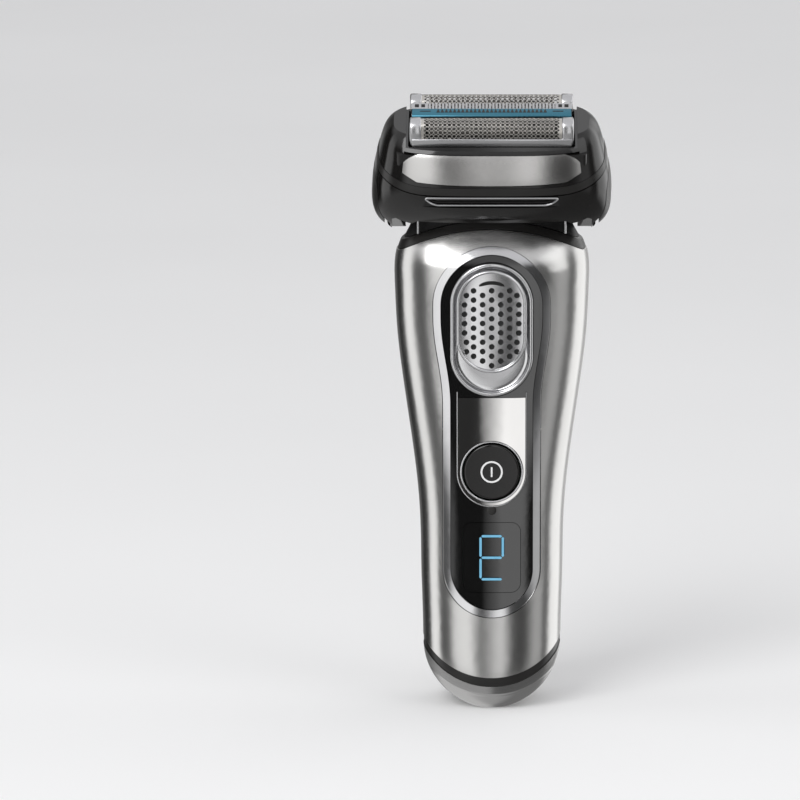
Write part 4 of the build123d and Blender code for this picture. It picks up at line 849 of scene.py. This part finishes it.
def panel_edge():
    """Raised bright edge down both sides of the panel and round under the power button."""
    middle = PANEL_FOOT - PANEL_EDGE_GAP + PANEL_EDGE_LENGTH / 2
    edge = oval_turning(PANEL_HALF + PANEL_EDGE_GAP, PANEL_EDGE_LENGTH, middle, 0.4, PANEL_EDGE_STEPS)
    bpy.ops.mesh.delete(type="FACE")
    bpy.ops.mesh.select_all(action="SELECT")
    bpy.ops.mesh.subdivide(number_cuts=3)
    pick("FACE", lambda co, normal, face: co.z > PANEL_EDGE_TOP)
    bpy.ops.mesh.delete(type="FACE")
    object_mode()
    lay_on(edge, ("front_bezel", "centre_panel", "display_window", "power_ring"))
    settle("panel_edge", "handle", "rim_satin", smooth=50)


STATUS_Z = 54.9
STATUS_RADIUS = 1.25
STATUS_STEPS = [(0.0, 0.25), (0.12, 0.06), (0.4, 0.05), (0.4, 0.02)]


def status_lens():
    """Small smoked lens of the status light, close under the panel."""
    lens = round_turning(STATUS_RADIUS, 32, (0, 0.2, STATUS_Z), STATUS_STEPS)
    object_mode()
    lay_on(lens, ("front_bezel",))
    settle("status_lens", "handle", "dark_satin", smooth=50)


DIGIT_MIDDLE = 42.0
DIGIT_SIDE = 2.95
DIGIT_RISE = 5.85
BAR = 0.62
BAR_GAP = 0.5
BAR_POINT = 0.28
BAR_PROUD = 0.04
BAR_DEPTH = 0.2
DIGIT_BARS = [(0, DIGIT_RISE, True), (0, 0, True), (0, -DIGIT_RISE, True),
              (-DIGIT_SIDE, DIGIT_RISE / 2, False), (DIGIT_SIDE, DIGIT_RISE / 2, False),
              (-DIGIT_SIDE, -DIGIT_RISE / 2, False)]


def digit_bars():
    """The lit figure, drawn with six slim bars whose ends are pointed."""
    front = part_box("display_digit")[0].y / MM - BAR_PROUD
    made = []
    for x, z, lying in DIGIT_BARS:
        half = (DIGIT_SIDE if lying else DIGIT_RISE / 2) - BAR_GAP
        bar = block((-half, 0.0, -BAR / 2), (half, BAR_DEPTH, BAR / 2))
        edit_mode()
        bpy.ops.mesh.select_all(action="SELECT")
        bpy.ops.mesh.subdivide(number_cuts=1)
        for side in (-1, 1):
            pick("VERT", lambda co: abs(co.z) < 0.01 and co.x * side > half - 0.01)
            bpy.ops.transform.translate(value=(side * BAR_POINT, 0, 0))
        object_mode()
        if not lying:
            bar.rotation_euler.y = pi / 2
        bar.location = (x, front, DIGIT_MIDDLE + z)
        bake_transform()
        made.append(bar)
    join_all(made)
    piece = settle("display_figure", "handle", "display_blue", smooth=0)
    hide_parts("display_digit")


MARK_Z = 65.4
MARK_RADIUS = 2.95
MARK_STEPS = [(0.0, 0.12), (0.03, 0.02), (0.42, 0.0), (0.03, -0.02), (0.0, -0.12)]
STROKE_HALF = 0.24
STROKE_RISE = 1.35


def power_mark():
    """Fine power symbol let into the button: a ring with a short upright bar."""
    ring = round_turning(MARK_RADIUS, 56, (0, 0.1, MARK_Z), MARK_STEPS)
    bpy.ops.mesh.delete(type="FACE")
    object_mode()
    bar = block((-STROKE_HALF, -0.04, MARK_Z - STROKE_RISE), (STROKE_HALF, 0.2, MARK_Z + STROKE_RISE), 0.08)
    mark = join_all([ring, bar])
    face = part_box("power_button")[0].y / MM
    for vert in mark.data.vertices:
        vert.co.y += face
    piece = settle("power_mark", "power", "symbol_white", smooth=40)
    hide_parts("power_symbol")


grip_lip()
neck_posts()
panel_edge()
status_lens()
digit_bars()
power_mark()


# ------------------------------------------------------------------ studio
SHAVER_MIDDLE = (0, 0, 0.08)


def area_light(name, place, aim, size, power):
    """A rectangular softbox that faces a point."""
    light = bpy.data.lights.new(name, "AREA")
    light.shape = "RECTANGLE"
    light.size, light.size_y = size
    light.energy = power
    lamp = bpy.data.objects.new(name, light)
    lamp.location = place
    lamp.rotation_euler = (Vector(aim) - Vector(place)).to_track_quat("-Z", "Y").to_euler()
    bpy.context.scene.collection.objects.link(lamp)


# brightness all round the object, by degrees round from the front, to the right positive
SOFTBOXES = [(-180, 0.35), (-140, 0.03), (-112, 0.03), (-104, 1.3), (-82, 1.3), (-74, 0.10), (-52, 0.10),
             (-40, 1.05), (-14, 1.25), (-9, 0.03), (-0.2, 0.03), (0.2, 1.25), (8, 1.25), (11, 0.06),
             (34, 0.06), (52, 0.55), (66, 0.55), (76, 0.14), (86, 0.14), (98, 1.4), (140, 1.4),
             (160, 0.35), (180, 0.35)]
CEILING = (0.75, 0.75, 0.765, 1)
CEILING_RISE = (0.45, 0.75)  # height of the direction at which the ceiling sets in and is full
GROUND_FALL = (-0.3, -0.6)
GROUND_TURN = (0.36, 0.62)   # shares of the full turn over which the ground goes from light to dark
GROUND_LIGHT = 0.62
GROUND_DARK = 0.2


def colour_mix(tree, factor, below):
    """Mix another colour over one, by a factor."""
    node = tree.nodes.new("ShaderNodeMix")
    node.data_type = "RGBA"
    tree.links.new(factor, node.inputs["Factor"])
    tree.links.new(below, node.inputs["A"])
    return node


def studio_world():
    """Tall softboxes and black flags standing round the object, with a bright ceiling."""
    world = bpy.data.worlds.new("studio")
    bpy.context.scene.world = world
    world.use_nodes = True
    tree = world.node_tree
    tree.nodes.clear()
    place = tree.nodes.new("ShaderNodeTexCoord")
    split = tree.nodes.new("ShaderNodeSeparateXYZ")
    tree.links.new(place.outputs["Generated"], split.inputs[0])
    forward = tree.nodes.new("ShaderNodeMath")
    forward.operation = "MULTIPLY"
    forward.inputs[1].default_value = -1
    tree.links.new(split.outputs["Y"], forward.inputs[0])
    turn = tree.nodes.new("ShaderNodeMath")
    turn.operation = "ARCTAN2"
    tree.links.new(split.outputs["X"], turn.inputs[0])
    tree.links.new(forward.outputs[0], turn.inputs[1])
    share = map_range(tree, turn.outputs[0], -pi, pi)
    boxes = tree.nodes.new("ShaderNodeValToRGB")
    stops = boxes.color_ramp.elements
    stops.remove(stops[0])
    stops[0].position = 1.0
    for degrees, value in SOFTBOXES:
        stop = stops.new((degrees + 180) / 360)
        stop.color = (value, value, value, 1)
    tree.links.new(share, boxes.inputs[0])
    low = map_range(tree, split.outputs["Z"], *GROUND_FALL, smooth=True)
    ground = colour_mix(tree, low, boxes.outputs[0])
    tree.links.new(map_range(tree, share, *GROUND_TURN, GROUND_LIGHT, GROUND_DARK), ground.inputs["B"])
    high = map_range(tree, split.outputs["Z"], *CEILING_RISE, smooth=True)
    ceiling = colour_mix(tree, high, ground.outputs["Result"])
    ceiling.inputs["B"].default_value = CEILING
    background = tree.nodes.new("ShaderNodeBackground")
    tree.links.new(ceiling.outputs["Result"], background.inputs["Color"])
    out = tree.nodes.new("ShaderNodeOutputWorld")
    tree.links.new(background.outputs[0], out.inputs[0])


def pale_floor():
    """The plain floor that the shaver stands on."""
    mat, tree, shader = new_material("floor_pale")
    cloud = object_noise(tree, 3, 3)
    tint(tree, shader, cloud.outputs[0], (0.90, 0.90, 0.90), (0.93, 0.93, 0.93))
    shader.inputs["Roughness"].default_value = 0.9
    bpy.ops.mesh.primitive_plane_add(size=12)
    floor = bpy.context.object
    floor.name = "floor"
    floor.data.materials.append(mat)
    floor.visible_glossy = False


CAMERA_TILT = 11.0          # looks down by this many degrees
CAMERA_DISTANCE = 1.5
VIEW_WIDTH = 0.2133         # width of the view at the object
AIM_HEIGHT = 0.0818
SIDE_SHIFT = -0.1146        # the object stands right of the middle of the picture


def studio_camera():
    """The front view, a little from above."""
    lens = bpy.data.cameras.new("camera")
    lens.sensor_width = 36.0
    lens.lens = lens.sensor_width * CAMERA_DISTANCE / VIEW_WIDTH
    lens.shift_x = SIDE_SHIFT
    lens.clip_end = 20
    camera = bpy.data.objects.new("camera", lens)
    tilt = radians(CAMERA_TILT)
    camera.location = (0, -CAMERA_DISTANCE * cos(tilt), AIM_HEIGHT + CAMERA_DISTANCE * sin(tilt))
    camera.rotation_euler = (pi / 2 - tilt, 0, 0)
    bpy.context.scene.collection.objects.link(camera)
    bpy.context.scene.camera = camera


bpy.ops.object.select_all(action="DESELECT")
studio_world()
pale_floor()
area_light("key", (-0.5, -0.7, 0.9), SHAVER_MIDDLE, (0.6, 0.6), 5)
area_light("fill", (0.7, -0.5, 0.6), SHAVER_MIDDLE, (0.5, 0.8), 1)
studio_camera()
bpy.context.scene.view_settings.view_transform = "Standard"
